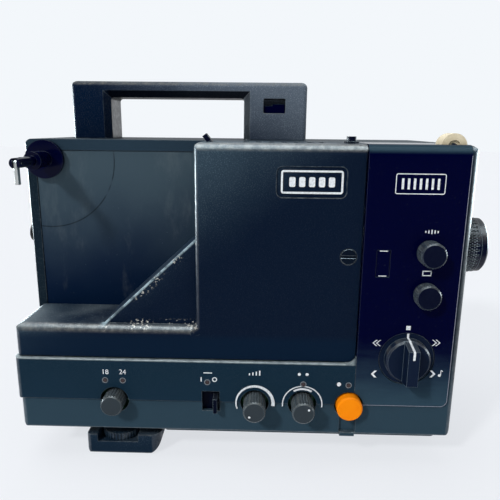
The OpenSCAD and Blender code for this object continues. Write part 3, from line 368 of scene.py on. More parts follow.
def paint_band_dust_and_sheen(f, colour):
    # The band's top edge is painted pale, partly dust and partly a painted highlight.
    near_panel = f.ease(f.axis("X"), 0.0775, 0.0800)
    top = f.ease(f.axis("Z"), 0.0779, 0.0789) * (1 - 0.85 * near_panel)
    rub = f.ease(f.noise(180.0, 4.0, 0.6), 0.25, 0.65)
    return f.mix(top * (0.35 + 0.45 * rub), colour, BAND_DUST_AND_SHEEN)


print("chute foot at", tuple(round(v, 4) for v in CHUTE_FOOT))

# %% [markdown]
# ## Painted light and shade on the rear housing and the handle
#
# The front rim of the rear housing is painted paler near its top, a painted light. The handle is
# painted dark inside its hand hole and darker and more neutral on its sides than on its grip, a
# painted shade. Which way a face looks is read from its true normal, and the size of the hole from
# the frame. Lamps could make the same differences, but from one side only, so they are painted
# into the finish.

# %% Painted light and shade on the rim and the handle
RIM_PAINTED_LIGHT = (0.0230, 0.0450, 0.0690, 1)
HOLE_PAINTED_SHADE = (0.0006, 0.0014, 0.0040, 1)
SIDE_PAINTED_SHADE = (0.0070, 0.0150, 0.0250, 1)
HOLE_MARGIN = (0.030, 0.026)


def paint_rim_light(f, colour):
    # Painted light on the upper front of the rim.
    front = f.ease(-1 * f.split(f.face(), "Y"), 0.5, 0.9)
    return f.mix(front * f.ease(f.axis("Z"), 0.200, 0.222) * 0.8, colour, RIM_PAINTED_LIGHT)


def paint_handle_shade(f, colour):
    low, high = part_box("handle")
    from_middle = abs(f.axis("X") - (low[0] + high[0]) / 2)
    half = (high[0] - low[0]) / 2
    turned = f.split(f.face(), "X")
    # Painted shade on faces in the hand hole that look left and down.
    away = f.ease(-1 * turned, 0.2, 0.5) + f.ease(-1 * turned.port("Z"), 0.2, 0.5)
    in_hole = 1 - f.ease(from_middle, *(half - margin for margin in HOLE_MARGIN))
    colour = f.mix(in_hole * away * 0.85, colour, HOLE_PAINTED_SHADE)
    # Painted shade on the sides of the handle.
    aside = (1 - f.ease(-1 * turned.port("Y"), 0.3, 0.7)) * (1 - f.ease(turned.port("Z"), 0.3, 0.7))
    return f.mix(aside * 0.85, colour, SIDE_PAINTED_SHADE)


# %% [markdown]
# ## The black mouldings
#
# Side by side no two black mouldings are equally black: casing, cover, band and handle each come
# from a mould with its own grain, and each has its own slope of painted light and shade. The knobs
# share a fine grain and small roundings, so those values are written once; their rims are painted
# pale, a painted highlight.

# %% Black mouldings
# The casing is painted paler at its foot, a painted reflection of the pale floor on the tray, and its
# rim takes a painted light.
casing = moulded("casing_satin", (0.0245, 0.0515, 0.0750, 1), (0.0045, 0.0130, 0.0230, 1), (42, 95),
                 rough=0.46, dust=0.2, sparkle=0.08, marks=paint_rim_light)
# The cover is painted paler towards its upper left, a painted light, and its dust reaches onto
# roundings that look half up, partly dust and partly a painted sheen.
cover_black = moulded("film_cover_satin", (0.0008, 0.0062, 0.0210, 1), (0.0360, 0.0640, 0.0900, 1),
                      (160, 275), lean=-0.75, rough=0.5, grain=1500.0, pale_edges=0.7, dust=0.36,
                      facing=(0.30, 0.9), sparkle=0.28, top_sheen=0.45, marks=chute_wear)
band_satin = moulded("band_satin", (0.0060, 0.0230, 0.0430, 1), (0.0030, 0.0180, 0.0360, 1), (45, 80),
                     rough=0.42, grain=2400.0, depth=0.02, sparkle=0.1, marks=paint_band_dust_and_sheen)
# The handle is painted paler towards its upper right, a painted light, and its grain carries painted
# glints.
grip_grain = moulded("handle_grain", (0.0008, 0.0080, 0.0280, 1), (0.1150, 0.1450, 0.1850, 1),
                     (205, 285), lean=0.45, rough=0.36, grain=1500.0, depth=0.16, round_mm=1.4,
                     pale_edges=0.3, dust=0.4, sparkle=0.5, glint=(0.36, 0.42, 0.49, 1), shine=0.02,
                     top_sheen=0.5, sharp=True, marks=paint_handle_shade)
foot_black = moulded("foot_satin", (0.0050, 0.0170, 0.0360, 1), (0.0060, 0.0180, 0.0370, 1), (0, 20),
                     rough=0.5)
# The knobs' rims are painted pale almost all round, a painted highlight.
KNOB = {"grain": 3000.0, "depth": 0.015, "round_mm": 0.4, "ragged": 0.25, "dust": 0.2,
        "sparkle": 0.05, "shine": 0.03}
knob_black = moulded("knob_satin", (0.0008, 0.0022, 0.0110, 1), (0.0008, 0.0022, 0.0150, 1),
                     (40, 170), rough=0.34, pale_edges=1.0, polish=0.6, top_sheen=0.25, **KNOB)
dial_black = moulded("dial_satin", (0.0045, 0.0105, 0.0290, 1), (0.0050, 0.0110, 0.0300, 1),
                     (40, 170), rough=0.34, pale_edges=0.8, polish=0.5, top_sheen=0.25, **KNOB)
band_knob_grey = moulded("band_knob_satin", (0.0330, 0.0430, 0.0520, 1), (0.0340, 0.0440, 0.0530, 1),
                         (40, 60), rough=0.36, pale_edges=0.8, polish=0.7, top_sheen=0.3, **KNOB)
print("materials so far", len(bpy.data.materials))

# %% [markdown]
# ## Reel plate
#
# The reel plate is a smooth sheet that reels have brushed in rings round the spindle, and one of
# them has left a dark scratch. The distance from the spindle comes from two coordinates, and a noise
# that changes with that distance alone makes rings. Painted rings would need a picture, while these
# stay sharp at any distance.

# %% Reel plate
SPINDLE = at(-141.4, 44, 215.1)
SCRATCH_RADIUS, SCRATCH_HALF = 0.0505, 0.0007
PLATE_LOW, PLATE_HIGH = (0.0008, 0.0090, 0.0320, 1), (0.0480, 0.0760, 0.0980, 1)
PLATE_BRUSHED, PLATE_SCRATCHED = (0.085, 0.115, 0.135, 1), (0.003, 0.006, 0.010, 1)
PLATE_SMEARED, PLATE_SPECKED = (0.30, 0.34, 0.34, 1), (0.30, 0.36, 0.40, 1)


def plate_finish():
    f = Finish("reel_plate_satin")
    rounded = f.soft_edge(0.0006)
    spot = f.add("ShaderNodeVectorMath", {"operation": "SUBTRACT"}, {0: f.place(), 1: SPINDLE})
    parts = f.split(spot, "X")
    reach = (parts * parts + parts.port("Z") * parts.port("Z")) ** 0.5
    ray = f.add("ShaderNodeCombineXYZ", None, {0: reach})
    rings = f.add("ShaderNodeTexNoise", None, {"Vector": ray, "Scale": 900.0, "Detail": 4.0})
    cloud = f.ease(f.noise(14.0, 4.0), 0.3, 0.75)
    # The plate is painted paler towards its top, a painted light.
    height = f.ease(f.axis("Z") + 0.02 * (cloud - 0.5), 0.112, 0.222)
    colour = f.mix(height, PLATE_LOW, PLATE_HIGH)
    worn = f.ease(rings, 0.55, 0.75) * f.ease(f.noise(22.0, 3.0), 0.42, 0.68)
    colour = f.mix(worn * height * 0.25, colour, PLATE_BRUSHED)
    scratch = f.ease(SCRATCH_HALF - abs(reach - SCRATCH_RADIUS), 0.0, 0.0006)
    scratch = scratch * f.ease(f.noise(60.0, 3.0), 0.30, 0.5)
    colour = f.mix(scratch * 0.75, colour, PLATE_SCRATCHED)
    smear = f.ease(f.noise(34.0, 5.0, 0.7, (1.0, 1.0, 0.35)), 0.52, 0.72)
    colour = f.mix(smear * 0.10, colour, PLATE_SMEARED)
    specks = f.ease(f.noise(1100.0, 2.0), 0.70, 0.78)
    colour = f.mix(specks * 0.35, colour, PLATE_SPECKED)
    return f.set(Base_Color=colour, Roughness=0.42 + 0.16 * cloud - 0.08 * worn,
                 Normal=f.bump(rings, 0.00002, rounded, 0.5), Specular_IOR_Level=0.05)


reel_sheet = plate_finish()
print("rings round", tuple(round(v, 4) for v in SPINDLE))

# %% [markdown]
# ## Polished plastic
#
# The lens panel, the spindle, the sockets and the indicator lamps are polished plastic without grain.
# Use shows in faint wiping marks, in specks and in the dust on faces that look up. The edges are
# painted paler, partly as wear and partly as a painted highlight, and roundings that turn up take a
# painted sheen. The tone changes with height as a painted light and shade, as on the mouldings. No
# bump is needed, so the normal is the rounded one alone.

# %% Polished plastic
WIDE_TURN = (0.02, 0.12)
GLOSS_SPECK = (0.20, 0.23, 0.26, 1)
GLOSS_WEAR_AND_SHEEN = (0.22, 0.26, 0.33, 1)
GLOSS_SHEEN = (0.030, 0.062, 0.085, 1)
LEVEL_TURN = (0.90, 0.99)


def gloss(name, tone, haze, rise, rough, shine=0.5, round_mm=0.5, top_sheen=0.0):
    """Polished plastic with a painted light and shade from tone to haze over the rise, two heights in
    mm.
    """
    f = Finish(name)
    rounded = f.soft_edge(round_mm / 1000)
    wipe = f.noise(24.0, 4.0, 0.6, (1.0, 1.0, 5.0))
    specks = f.ease(f.noise(1300.0, 2.0), 0.72, 0.80)
    height = f.ease(f.axis("Z") + 0.03 * (wipe - 0.5), rise[0] / 1000, rise[1] / 1000)
    colour = f.mix(height, tone, haze)
    colour = f.mix(specks * 0.25, colour, GLOSS_SPECK)
    # Edges painted paler, partly wear and partly a painted highlight.
    colour = f.mix(f.edge(rounded, *WIDE_TURN) * 0.15, colour, GLOSS_WEAR_AND_SHEEN)
    upward = f.split(rounded, "Z")
    # Roundings that turn up take a painted sheen.
    colour = f.mix(f.between(upward, (0.10, 0.55), LEVEL_TURN) * top_sheen, colour, GLOSS_SHEEN)
    settled = f.ease(upward, *LEVEL_TURN) * (0.7 + 0.3 * f.ease(f.noise(SPECK, 2.0), 0.45, 0.75))
    colour = f.mix(settled * 0.16, colour, DUST)
    return f.set(Base_Color=colour, Roughness=rough + 0.10 * f.ease(wipe, 0.45, 0.75) + 0.1 * specks,
                 Normal=rounded, Specular_IOR_Level=shine)


# The panel is painted paler towards its foot, a painted reflection of the pale floor, and its top
# rounding takes a painted sheen.
panel_gloss = gloss("panel_gloss", (0.0280, 0.0580, 0.0850, 1), (0.0001, 0.0008, 0.0200, 1),
                    (44, 100), 0.14, 0.015, top_sheen=0.8)
spindle_gloss = gloss("spindle_gloss", (0.0004, 0.0012, 0.0170, 1), (0.0005, 0.0014, 0.0190, 1),
                      (190, 240), 0.08, 0.08, 0.35)
socket_gloss = gloss("socket_gloss", (0.006, 0.007, 0.009, 1), (0.007, 0.008, 0.010, 1),
                     (40, 180), 0.30, 0.35)
lamp_smoke = gloss("indicator_smoke", (0.030, 0.012, 0.014, 1), (0.024, 0.010, 0.012, 1),
                   (40, 80), 0.12, 0.5, 0.2)
print("materials so far", len(bpy.data.materials))

# %% [markdown]
# ## Metals
#
# Sheet, shafts, castings and screws are metal with fine turning or brushing lines. A noise that is
# drawn out along one axis gives such lines without an extra face. Tarnish darkens the tone in
# clouds, and on the black screws the edges are worn bare.

# %% Metals
ALONG_X, ALONG_Y, ALL_ROUND = (0.05, 1.0, 1.0), (1.0, 0.05, 1.0), (1.0, 1.0, 1.0)
BARE = (0.42, 0.48, 0.52, 1)


def darker(tone, share):
    return [c * share for c in tone[:3]] + [1]


def metal(name, tone, rough, stretch, depth=0.00002, round_mm=0.3, worn=0.0):
    f = Finish(name)
    rounded = f.soft_edge(round_mm / 1000)
    lines = f.noise(500.0, 3.0, 0.6, stretch)
    tarnish = f.ease(f.noise(45.0, 4.0), 0.45, 0.8)
    colour = f.mix(tarnish * 0.5, tone, darker(tone, 0.62))
    if worn:
        colour = f.mix(f.edge(rounded, *WIDE_TURN) * worn, colour, BARE)
    return f.set(Base_Color=colour, Metallic=1.0, Roughness=rough + 0.15 * lines + 0.1 * tarnish,
                 Normal=f.bump(lines, depth, rounded, 0.4))


sheet_steel = metal("sheet_steel", (0.55, 0.56, 0.57, 1), 0.34, ALONG_X)
turned_steel = metal("turned_steel", (0.60, 0.61, 0.62, 1), 0.26, ALONG_Y)
cast_zinc = metal("cast_zinc", (0.42, 0.43, 0.44, 1), 0.46, ALL_ROUND, 0.00006)
lever_alloy = metal("lever_alloy", (0.70, 0.71, 0.70, 1), 0.28, ALONG_Y)
lamp_mirror = metal("lamp_mirror", (0.86, 0.87, 0.88, 1), 0.06, ALL_ROUND, 0.000005)
dark_screw = metal("screw_black", (0.006, 0.011, 0.022, 1), 0.32, ALONG_Y, round_mm=0.5, worn=0.6)
print("materials so far", len(bpy.data.materials))

# %% [markdown]
# ## Matt materials
#
# Rubber, ceramic, the circuit board, the iron core, the ivory roller and the orange button are matt.
# Two tones in clouds and a fine bump are enough for all of them, so one function does it.

# %% Matt materials


def dull(name, tone, other, rough, scale, shine=0.3):
    f = Finish(name)
    cloud = f.ease(f.noise(scale, 4.0), 0.3, 0.75)
    fine = f.noise(scale * 12, 2.0)
    return f.set(Base_Color=f.mix(cloud, tone, other), Roughness=rough + 0.12 * fine,
                 Normal=f.bump(fine, 0.00003, f.soft_edge(0.0004)), Specular_IOR_Level=shine)


ivory = dull("roller_ivory", (0.80, 0.70, 0.50, 1), (0.70, 0.60, 0.40, 1), 0.42, 120.0)
ceramic = dull("ceramic", (0.62, 0.58, 0.49, 1), (0.52, 0.48, 0.40, 1), 0.55, 90.0)
rubber = dull("rubber", (0.012, 0.012, 0.013, 1), (0.022, 0.022, 0.024, 1), 0.72, 80.0, 0.2)
board_green = dull("board_green", (0.02, 0.10, 0.045, 1), (0.03, 0.14, 0.06, 1), 0.38, 60.0)
iron = dull("core_iron", (0.12, 0.10, 0.085, 1), (0.07, 0.062, 0.055, 1), 0.6, 70.0)
orange = dull("record_orange", (1.0, 0.270, 0.002, 1), (0.96, 0.235, 0.002, 1), 0.45, 70.0, 0.05)
print("materials so far", len(bpy.data.materials))

# %% [markdown]
# ## Coated glass
#
# The lens elements let light through and carry a thin coating that tints them. A smooth glass with
# a bluish tone stands for both, which is enough at this size.

# %% Glass


def coated_glass():
    f = Finish("coated_glass")
    haze = f.ease(f.noise(60.0, 3.0), 0.4, 0.8)
    return f.set(Base_Color=f.mix(haze, (0.72, 0.80, 0.95, 1), (0.66, 0.72, 0.90, 1)),
                 Roughness=0.03 + 0.03 * haze, Transmission_Weight=0.9, IOR=1.52)


glass = coated_glass()
print("glass", glass.name)

# %% [markdown]
# ## Give every node its finish
#
# The shapes of the frame stay as they are. Only their material slots are filled, one finish for
# each group of pieces that would come out of the same workshop.

# %% Finishes to nodes
WORKSHOP = {
    casing: "main_housing rear_housing",
    cover_black: "front_cover",
    band_satin: "audio_panel",
    grip_grain: "handle",
    foot_black: "front_foot rear_foot front_foot_wheel rear_foot_wheel",
    knob_black: "focus_knob frame_knob power_slider cover_latch top_slider zoom_ring lens_barrel"
                " takeup_pulley fan shutter frame_mask",
    dial_black: "function_knob",
    band_knob_grey: "volume_knob mix_knob speed_button",
    reel_sheet: "reel_plate",
    panel_gloss: "control_panel panel_key trimmer_button",
    socket_gloss: "mains_inlet audio_sockets",
    lamp_smoke: "leds",
    spindle_gloss: "takeup_spindle",
    sheet_steel: "chassis_plate film_gate pressure_plate motor_bracket pinch_arm",
    turned_steel: "main_shaft motor_shaft flywheel motor",
    dark_screw: "coin_screw housing_screws",
    cast_zinc: "lens_mount shaft_bearings sound_head",
    lever_alloy: "reel_lock_lever",
    lamp_mirror: "lamp",
    ivory: "film_roller",
    ceramic: "lamp_socket function_switch takeup_drive",
    rubber: "foot_pads pinch_roller takeup_belt drive_belt",
    board_green: "amplifier_board",
    iron: "transformer",
    orange: "rec_button",
    glass: "lens_elements",
}
dressed = 0
for finish, names in WORKSHOP.items():
    for name in names.split():
        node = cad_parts[name]
        node.data.materials.clear()
        node.data.materials.append(finish)
        dressed += 1
print("dressed nodes", dressed)

# %% [markdown]
# ## Printed marks
#
# The panels carry printed marks: numbers, arrows, dots and bars. A printed mark is a film of paint,
# so each is a thin solid that stands a twentieth of a millimetre proud and is sunk a little, so
# that no gap shows. A flat bmesh face in the plane of the panel is extruded forwards. The paint is
# thin in places, which a fine noise shows.

# %% Paint and plates
PRINT, SUNK = 0.05, 0.02


def paint(name, tone):
    f = Finish(name)
    cover = f.ease(f.noise(700.0, 3.0, 0.6), 0.25, 0.6)
    return f.set(Base_Color=f.mix(cover, darker(tone, 0.72), tone), Roughness=0.5 + 0.1 * cover,
                 Specular_IOR_Level=0.3)


def keep(mesh, name, finish, body):
    """Makes a piece of the mesh, which rides on a body of the frame."""
    data = bpy.data.meshes.new(name)
    bmesh.ops.recalc_face_normals(mesh, faces=mesh.faces)
    mesh.to_mesh(data)
    mesh.free()
    data.materials.append(finish)
    piece = bpy.data.objects.new(name, data)
    bpy.context.collection.objects.link(piece)
    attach(piece, body)


def thicken(mesh, faces, depth):
    """Turns flat faces into one closed plate that grows forwards by depth, in mm."""
    grown = bmesh.ops.extrude_face_region(mesh, geom=faces)["geom"]
    moved = [v for v in grown if isinstance(v, bmesh.types.BMVert)]
    bmesh.ops.translate(mesh, verts=moved, vec=(0, -depth / 1000, 0))


def film(mesh, outline, y=PANEL_Y, depth=PRINT):
    """Adds a thin plate with the outline of x, z points and its front just proud of the face y."""
    ring = [mesh.verts.new(at(x, y + SUNK, z)) for x, z in outline]
    thicken(mesh, [mesh.faces.new(ring)], depth + SUNK)


white_paint = paint("print_white", (0.80, 0.83, 0.86, 1))
print("paint", white_paint.name, "stands proud by", PRINT, "mm")

# %% [markdown]
# ## Bars, discs and arcs
#
# Nearly all signs on the panels are made of bars, discs and arcs, as they would be cut in a stencil.
# An arc is one short edge that is spun round its centre. Where it swells, its points are pushed
# apart by the share of the turn that lies behind them. Spinning gives even steps and leaves no seam
# in a full ring.

# %% Bars, discs and arcs


def around(x, z, radius, turn):
    """The point on a circle at a turn in degrees."""
    a = math.radians(turn)
    return x + radius * math.cos(a), z + radius * math.sin(a)


def bar(mesh, x, z, width, height, turn=0.0):
    c, s = math.cos(math.radians(turn)), math.sin(math.radians(turn))
    u, v = width / 2, height / 2
    corners = ((-u, -v), (u, -v), (u, v), (-u, v))
    film(mesh, [(x + c * a - s * b, z + s * a + c * b) for a, b in corners])


def disc(mesh, x, z, radius, count=24, y=PANEL_Y):
    film(mesh, [around(x, z, radius, 360 * i / count) for i in range(count)], y)


def arc(mesh, x, z, radius, start, stop, thick, thick_end=None, count=40):
    """A band along a circle, from start to stop in degrees, that may change its thickness."""
    centre, turn = at(x, PANEL_Y + SUNK, z), stop - start
    ray = Vector((math.cos(math.radians(start)), 0, math.sin(math.radians(start))))
    ends = [mesh.verts.new(centre + ray * r / 1000) for r in (radius - thick / 2, radius + thick / 2)]
    before = set(mesh.faces)
    bmesh.ops.spin(mesh, geom=ends + [mesh.edges.new(ends)], cent=centre, axis=(0, -1, 0),
                   angle=math.radians(turn), steps=count, use_merge=abs(turn) == 360)
    band = [face for face in mesh.faces if face not in before]
    if thick_end:
        for v in {v for face in band for v in face.verts}:
            arm = v.co - centre
            passed = math.degrees(math.atan2(arm.z, arm.x)) - start
            share = (passed * math.copysign(1, turn) + 0.001) % 360 / abs(turn)
            side = 1 if arm.length * 1000 > radius else -1
            v.co += arm.normalized() * side * share * (thick_end - thick) / 2000
    thicken(mesh, band, PRINT + SUNK)


print("a quarter turn at radius 1 ends at", tuple(round(v, 3) for v in around(0, 0, 1, 90)))

# %% [markdown]
# ## Marks on the lens panel
#
# Round the function knob stand four arrows, a stop sign and a sound sign. Over the two small knobs
# are a row of bars and a frame sign, and a short line lies above and below the key. All are common
# signs, sized like the real ones. A thin grey line follows the right and the lower edge of the panel,
# a painted highlight of its rounded edge.

# %% Lens panel marks


def chevron(mesh, x, z, size, way, thick):
    """A pointed sign whose tip lies on the side given by way."""
    tip, back = x + way * size * 0.6, x - way * size * 0.5
    half = size * 0.7
    film(mesh, [(tip, z), (back + way * thick, z + half), (back, z + half), (tip - way * thick, z),
                (back, z - half), (back + way * thick, z - half)][::way])


def note(mesh, x, z):
    """A round foot with a stem and a flag, the usual sign for sound."""
    disc(mesh, x, z, 1.0)
    bar(mesh, x + 0.82, z + 2.1, 0.45, 4.2)
    bar(mesh, x + 1.45, z + 3.5, 1.7, 0.6, -35)


panel_marks = bmesh.new()
for x, z, way in ((98.7, 95.7, -1), (138.9, 96.6, 1)):
    for k in (-1, 1):
        chevron(panel_marks, x + k * 1.2, z, 3.2, way, 0.9)
for x, z, way in ((98.2, 72.5, -1), (138.4, 73.4, 1)):
    chevron(panel_marks, x, z, 3.7, way, 1.7)
note(panel_marks, 143.4, 72.4)
bar(panel_marks, 119.3, 107.1, 3.0, 3.0)
for offset, height in ((-4.0, 1.4), (-2.0, 2.2), (0.0, 3.0), (2.0, 2.2), (4.0, 1.4)):
    bar(panel_marks, 129.2 + offset, 174, 0.8, height)
for dx, dz, w, h in ((0, 1.5, 6.0, 0.6), (0, -1.5, 6.0, 0.6), (-2.7, 0, 0.6, 3.0), (2.7, 0, 0.6, 3.0)):
    bar(panel_marks, 128.4 + dx, 145.9 + dz, w, h)
for z in (160.7, 143.6):
    bar(panel_marks, 99.0, z, 5.4, 0.5)
print("panel marks", len(panel_marks.faces), "faces")
keep(panel_marks, "panel_marks", white_paint, "body")

# A painted highlight along the panel's right and lower rounded edge.
HIGHLIGHT_WIDTH, HIGHLIGHT_X, HIGHLIGHT_Z, HIGHLIGHT_RADIUS = 0.35, 150.4, 48.4, 4.6
edge_highlight = bmesh.new()
bar(edge_highlight, HIGHLIGHT_X, 138.0, HIGHLIGHT_WIDTH, 170.0)
arc(edge_highlight, HIGHLIGHT_X - HIGHLIGHT_RADIUS, HIGHLIGHT_Z + HIGHLIGHT_RADIUS, HIGHLIGHT_RADIUS, -91, 1, HIGHLIGHT_WIDTH, None, 12)
bar(edge_highlight, 115.8, HIGHLIGHT_Z, 60.0, HIGHLIGHT_WIDTH)
print("panel trim", len(edge_highlight.faces), "faces")
keep(edge_highlight, "panel_edge_highlight", paint("edge_highlight_grey", (0.26, 0.27, 0.33, 1)), "body")

# %% [markdown]
# ## Numbers
#
# The two running speeds are printed as numbers. A text curve is turned into a mesh, stood upright
# and laid on the face. Strokes of numbers are too round to be put together from bars, and the font
# that comes with Blender is plain enough.

# %% Speed numbers


def numeral(text, size, x, z, name):
    """A plain number, centred on x and z."""
    curve = bpy.data.curves.new(name, "FONT")
    curve.body, curve.size = text, size / 1000
    curve.align_x, curve.align_y = "CENTER", "CENTER"
    curve.extrude = PRINT / 2000
    temporary = bpy.data.objects.new(name + "_curve", curve)
    bpy.context.collection.objects.link(temporary)
    bpy.context.view_layer.update()
    shaped = temporary.evaluated_get(bpy.context.evaluated_depsgraph_get())
    data = bpy.data.meshes.new_from_object(shaped)
    bpy.data.objects.remove(temporary)
    mesh = bmesh.new()
    mesh.from_mesh(data)
    bpy.data.meshes.remove(data)
    bmesh.ops.remove_doubles(mesh, verts=mesh.verts, dist=1e-7)
    upright = Matrix.Rotation(math.radians(90), 3, "X")
    bmesh.ops.rotate(mesh, verts=mesh.verts, cent=(0, 0, 0), matrix=upright)
    bmesh.ops.translate(mesh, verts=mesh.verts, vec=at(x, PANEL_Y - PRINT / 2 + SUNK / 2, z))
    print(name, len(mesh.faces), "faces")
    keep(mesh, name, white_paint, "body")


NUMBER_SIZE = 5.2
numeral("18", NUMBER_SIZE, -91.1, 69.6, "speed_mark_18")
numeral("24", NUMBER_SIZE, -78.7, 69.8, "speed_mark_24")

# %% [markdown]
# ## Marks on the control band
#
# The power slide has its two plain states, a bar and a ring. The level knob sits in an arc that
# swells as the level rises, and the mix knob in a double arc. Plain bars and dots stand above the
# controls. Each indicator lamp has a thin rim, which is a second piece because its paint is greyer.

# %% Control band marks
SEAM = 47.8
VOLUME_X, MIX_X = 15.0, 48.9
POWER_Z = 65.6
LAMP_Z = SEAM + 15.6
LAMPS_X = (-91.4, -78.8, -18.6, 49.2, 81.0)
band_marks = bmesh.new()
bar(band_marks, -22.9, POWER_Z, 0.8, 3.4)
arc(band_marks, -13.4, POWER_Z, 1.45, 0, 360, 0.65)
bar(band_marks, -18.2, 70.6, 6.0, 0.7)
arc(band_marks, VOLUME_X, SEAM, 13.2, 200, -8, 0.9, 2.4, 60)
arc(band_marks, MIX_X, SEAM, 14.0, 188, -8, 0.8, None, 60)
arc(band_marks, MIX_X, SEAM, 11.9, 122, 58, 1.4)
for k in range(4):
    bar(band_marks, 11.2 + 2.4 * k, 70.2 + 0.35 * k, 0.9, 1.6 + 0.7 * k)
for x in (46.2, 51.6):
    disc(band_marks, x, 71.0, 1.1)
disc(band_marks, 74.2, 64.0, 1.5)
print("band marks", len(band_marks.faces), "faces")
keep(band_marks, "band_marks", white_paint, "body")

lamp_rims = bmesh.new()
for x in LAMPS_X:
    arc(lamp_rims, x, LAMP_Z, 1.95, 0, 360, 0.5, None, 24)
print("lamp rims", len(LAMPS_X))
keep(lamp_rims, "indicator_rims", paint("print_grey", (0.20, 0.22, 0.24, 1)), "body")

# %% [markdown]
# ## Framed plates
#
# The cover has a shallow recess with a framed plate, and the panel a thin printed frame. The
# cover's plate shows a row of film perforations and the panel's a row of bars. A frame is a strip
# round a rounded rectangle, made as one ring of faces, so that its corners are as thick as its
# sides.

# %% Framed plates


def corner_loop(x0, x1, z0, z1, radius, steps=8):
    """The x, z points of a rectangle with rounded corners."""
    centres = ((x1 - radius, z1 - radius, 0), (x0 + radius, z1 - radius, 90),
               (x0 + radius, z0 + radius, 180), (x1 - radius, z0 + radius, 270))
    return [around(x, z, radius, start + 90 * i / steps)
            for x, z, start in centres for i in range(steps + 1)]


def framed(name, x0, x1, z0, z1, radius, thick, y, proud, body):
    mesh = bmesh.new()
    outer = corner_loop(x0, x1, z0, z1, radius)
    inner = corner_loop(x0 + thick, x1 - thick, z0 + thick, z1 - thick, max(radius - thick, 0.3))
    loops = [[mesh.verts.new(at(px, y, pz)) for px, pz in loop] for loop in (outer, inner)]
    for k in range(len(outer)):
        n = (k + 1) % len(outer)
        mesh.faces.new((loops[0][k], loops[0][n], loops[1][n], loops[1][k]))
    thicken(mesh, mesh.faces[:], proud)
    keep(mesh, name, white_paint, body)


RECESS_Y = 1.0
framed("cover_plate_frame", 30.2, 70.6, 197.4, 212.6, 1.8, 1.25, RECESS_Y, 0.8, "cover")
framed("panel_plate_frame", 103.4, 135.3, 198.4, 211.6, 1.4, 0.55, PANEL_Y + SUNK, PRINT + SUNK, "body")
perforations = bmesh.new()
for k in range(5):
    hole = corner_loop(35.6 + 6.4 * k, 39.6 + 6.4 * k, 201.8, 208.2, 1.0, 4)
    film(perforations, hole, RECESS_Y, 0.5)
print("plate row", len(perforations.faces), "faces")
keep(perforations, "cover_plate_row", white_paint, "cover")
bars = bmesh.new()
for k in range(7):
    bar(bars, 108.0 + 3.8 * k, 205.0, 1.5, 7.0)
print("bar row", len(bars.faces), "faces")
keep(bars, "panel_plate_row", white_paint, "body")

# %% [markdown]
# ## Pointers on the knobs
#
# The function knob has a white line on its bar, and the two level knobs a dot each. They are paint
# as well, and ride on their knobs, so that they turn with them. The line bends over the knob's
# steps, so it is made of short slabs, one along each stretch of the knob's profile.

# %% Knob pointers


def front_of(node):
    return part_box(node)[0][1] * 1000 + MID_Y


def strip(mesh, x, width, path, thick=0.06):
    """A painted strip along a bent path of y, z points, with its thickness outside the path."""
    for (y0, z0), (y1, z1) in zip(path, path[1:]):
        out = Vector((0, z1 - z0, y0 - y1)).normalized() * thick / 1000
        if out.y > 0:
            out = -out
        corners = []
        for lift in (-0.4, 1.0):
            for y, z in ((y0, z0), (y1, z1)):
                for side in (-1, 1):
                    corners.append(at(x + side * width / 2, y, z) + out * lift)
        bmesh.ops.convex_hull(mesh, input=[mesh.verts.new(c) for c in corners])


FUNCTION_X, FUNCTION_Z = 119.8, 84.3
SKIRT_Y, DISC_R, DISC_Y = PANEL_Y + 0.8, 15.2, PANEL_Y - 4.5
knob_front = front_of("function_knob")
profile = [(SKIRT_Y, 18.4), (SKIRT_Y, DISC_R), (DISC_Y, DISC_R), (PANEL_Y - 5.5, 14.6),
           (knob_front, 12.4), (knob_front, 6.6)]
pointer = bmesh.new()
strip(pointer, FUNCTION_X, 1.5, [(y, FUNCTION_Z + reach) for y, reach in profile])
keep(pointer, "function_pointer", white_paint, "function")

DOT_REACH, DOT_RADIUS = 4.8, 0.8
for node, body, x, turn in (("volume_knob", "volume", VOLUME_X, 225), ("mix_knob", "mix", MIX_X, 40)):
    dot = bmesh.new()
    disc(dot, *around(x, SEAM, DOT_REACH, turn), DOT_RADIUS, 20, front_of(node))
    keep(dot, node + "_dot", white_paint, body)
print("function knob's front at", round(knob_front, 2), "mm")

# %% [markdown]
# ## Studs of the zoom ring
#
# The zoom ring is rubbery and studded. The turned ring with its grooves comes from the frame. A
# stud is a cube with its outer face drawn in, repeated round the ring in rows that are shifted by
# half a step. A bump would not break the ring's outline, so the studs are real. They are painted
# pale, a painted highlight that stands for the glints on their tops.

# %% Zoom ring studs
LENS_Y, LENS_Z, RING_R = 26.0, 160.0, 19.2
ROWS, AROUND = 5, 66
STUD_LONG, STUD_WIDE, STUD_TALL, STUD_SUNK, STUD_TIP = 1.15, 1.05, 0.8, 0.12, 0.5
first, last = 157.2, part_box("zoom_ring")[1][0] * 1000 + MID_X - 3.4
studs = bmesh.new()
for row in range(ROWS):
    x = first + (last - first) * row / (ROWS - 1)
    for k in range(AROUND):
        a = math.tau * (k + 0.5 * (row % 2)) / AROUND
        cube = bmesh.ops.create_cube(studs, size=1.0)["verts"]
        for v in cube:
            taper = STUD_TIP if v.co.z > 0 else 1.0
            v.co = Vector((v.co.x * STUD_LONG * taper, v.co.y * STUD_WIDE * taper,
                           v.co.z * STUD_TALL - STUD_SUNK)) / 1000
        middle = Matrix.Translation(at(x, LENS_Y, LENS_Z))
        outward = Matrix.Translation((0, 0, RING_R / 1000))
        bmesh.ops.transform(studs, verts=cube, matrix=middle @ Matrix.Rotation(a, 4, "X") @ outward)
# The studs are painted pale, a painted highlight of their tops.
pale_stud_highlight = dull("pale_stud_highlight", (0.24, 0.28, 0.31, 1), (0.16, 0.19, 0.21, 1), 0.40, 300.0)
keep(studs, "zoom_studs", pale_stud_highlight, "zoom")
print("studs", ROWS * AROUND)

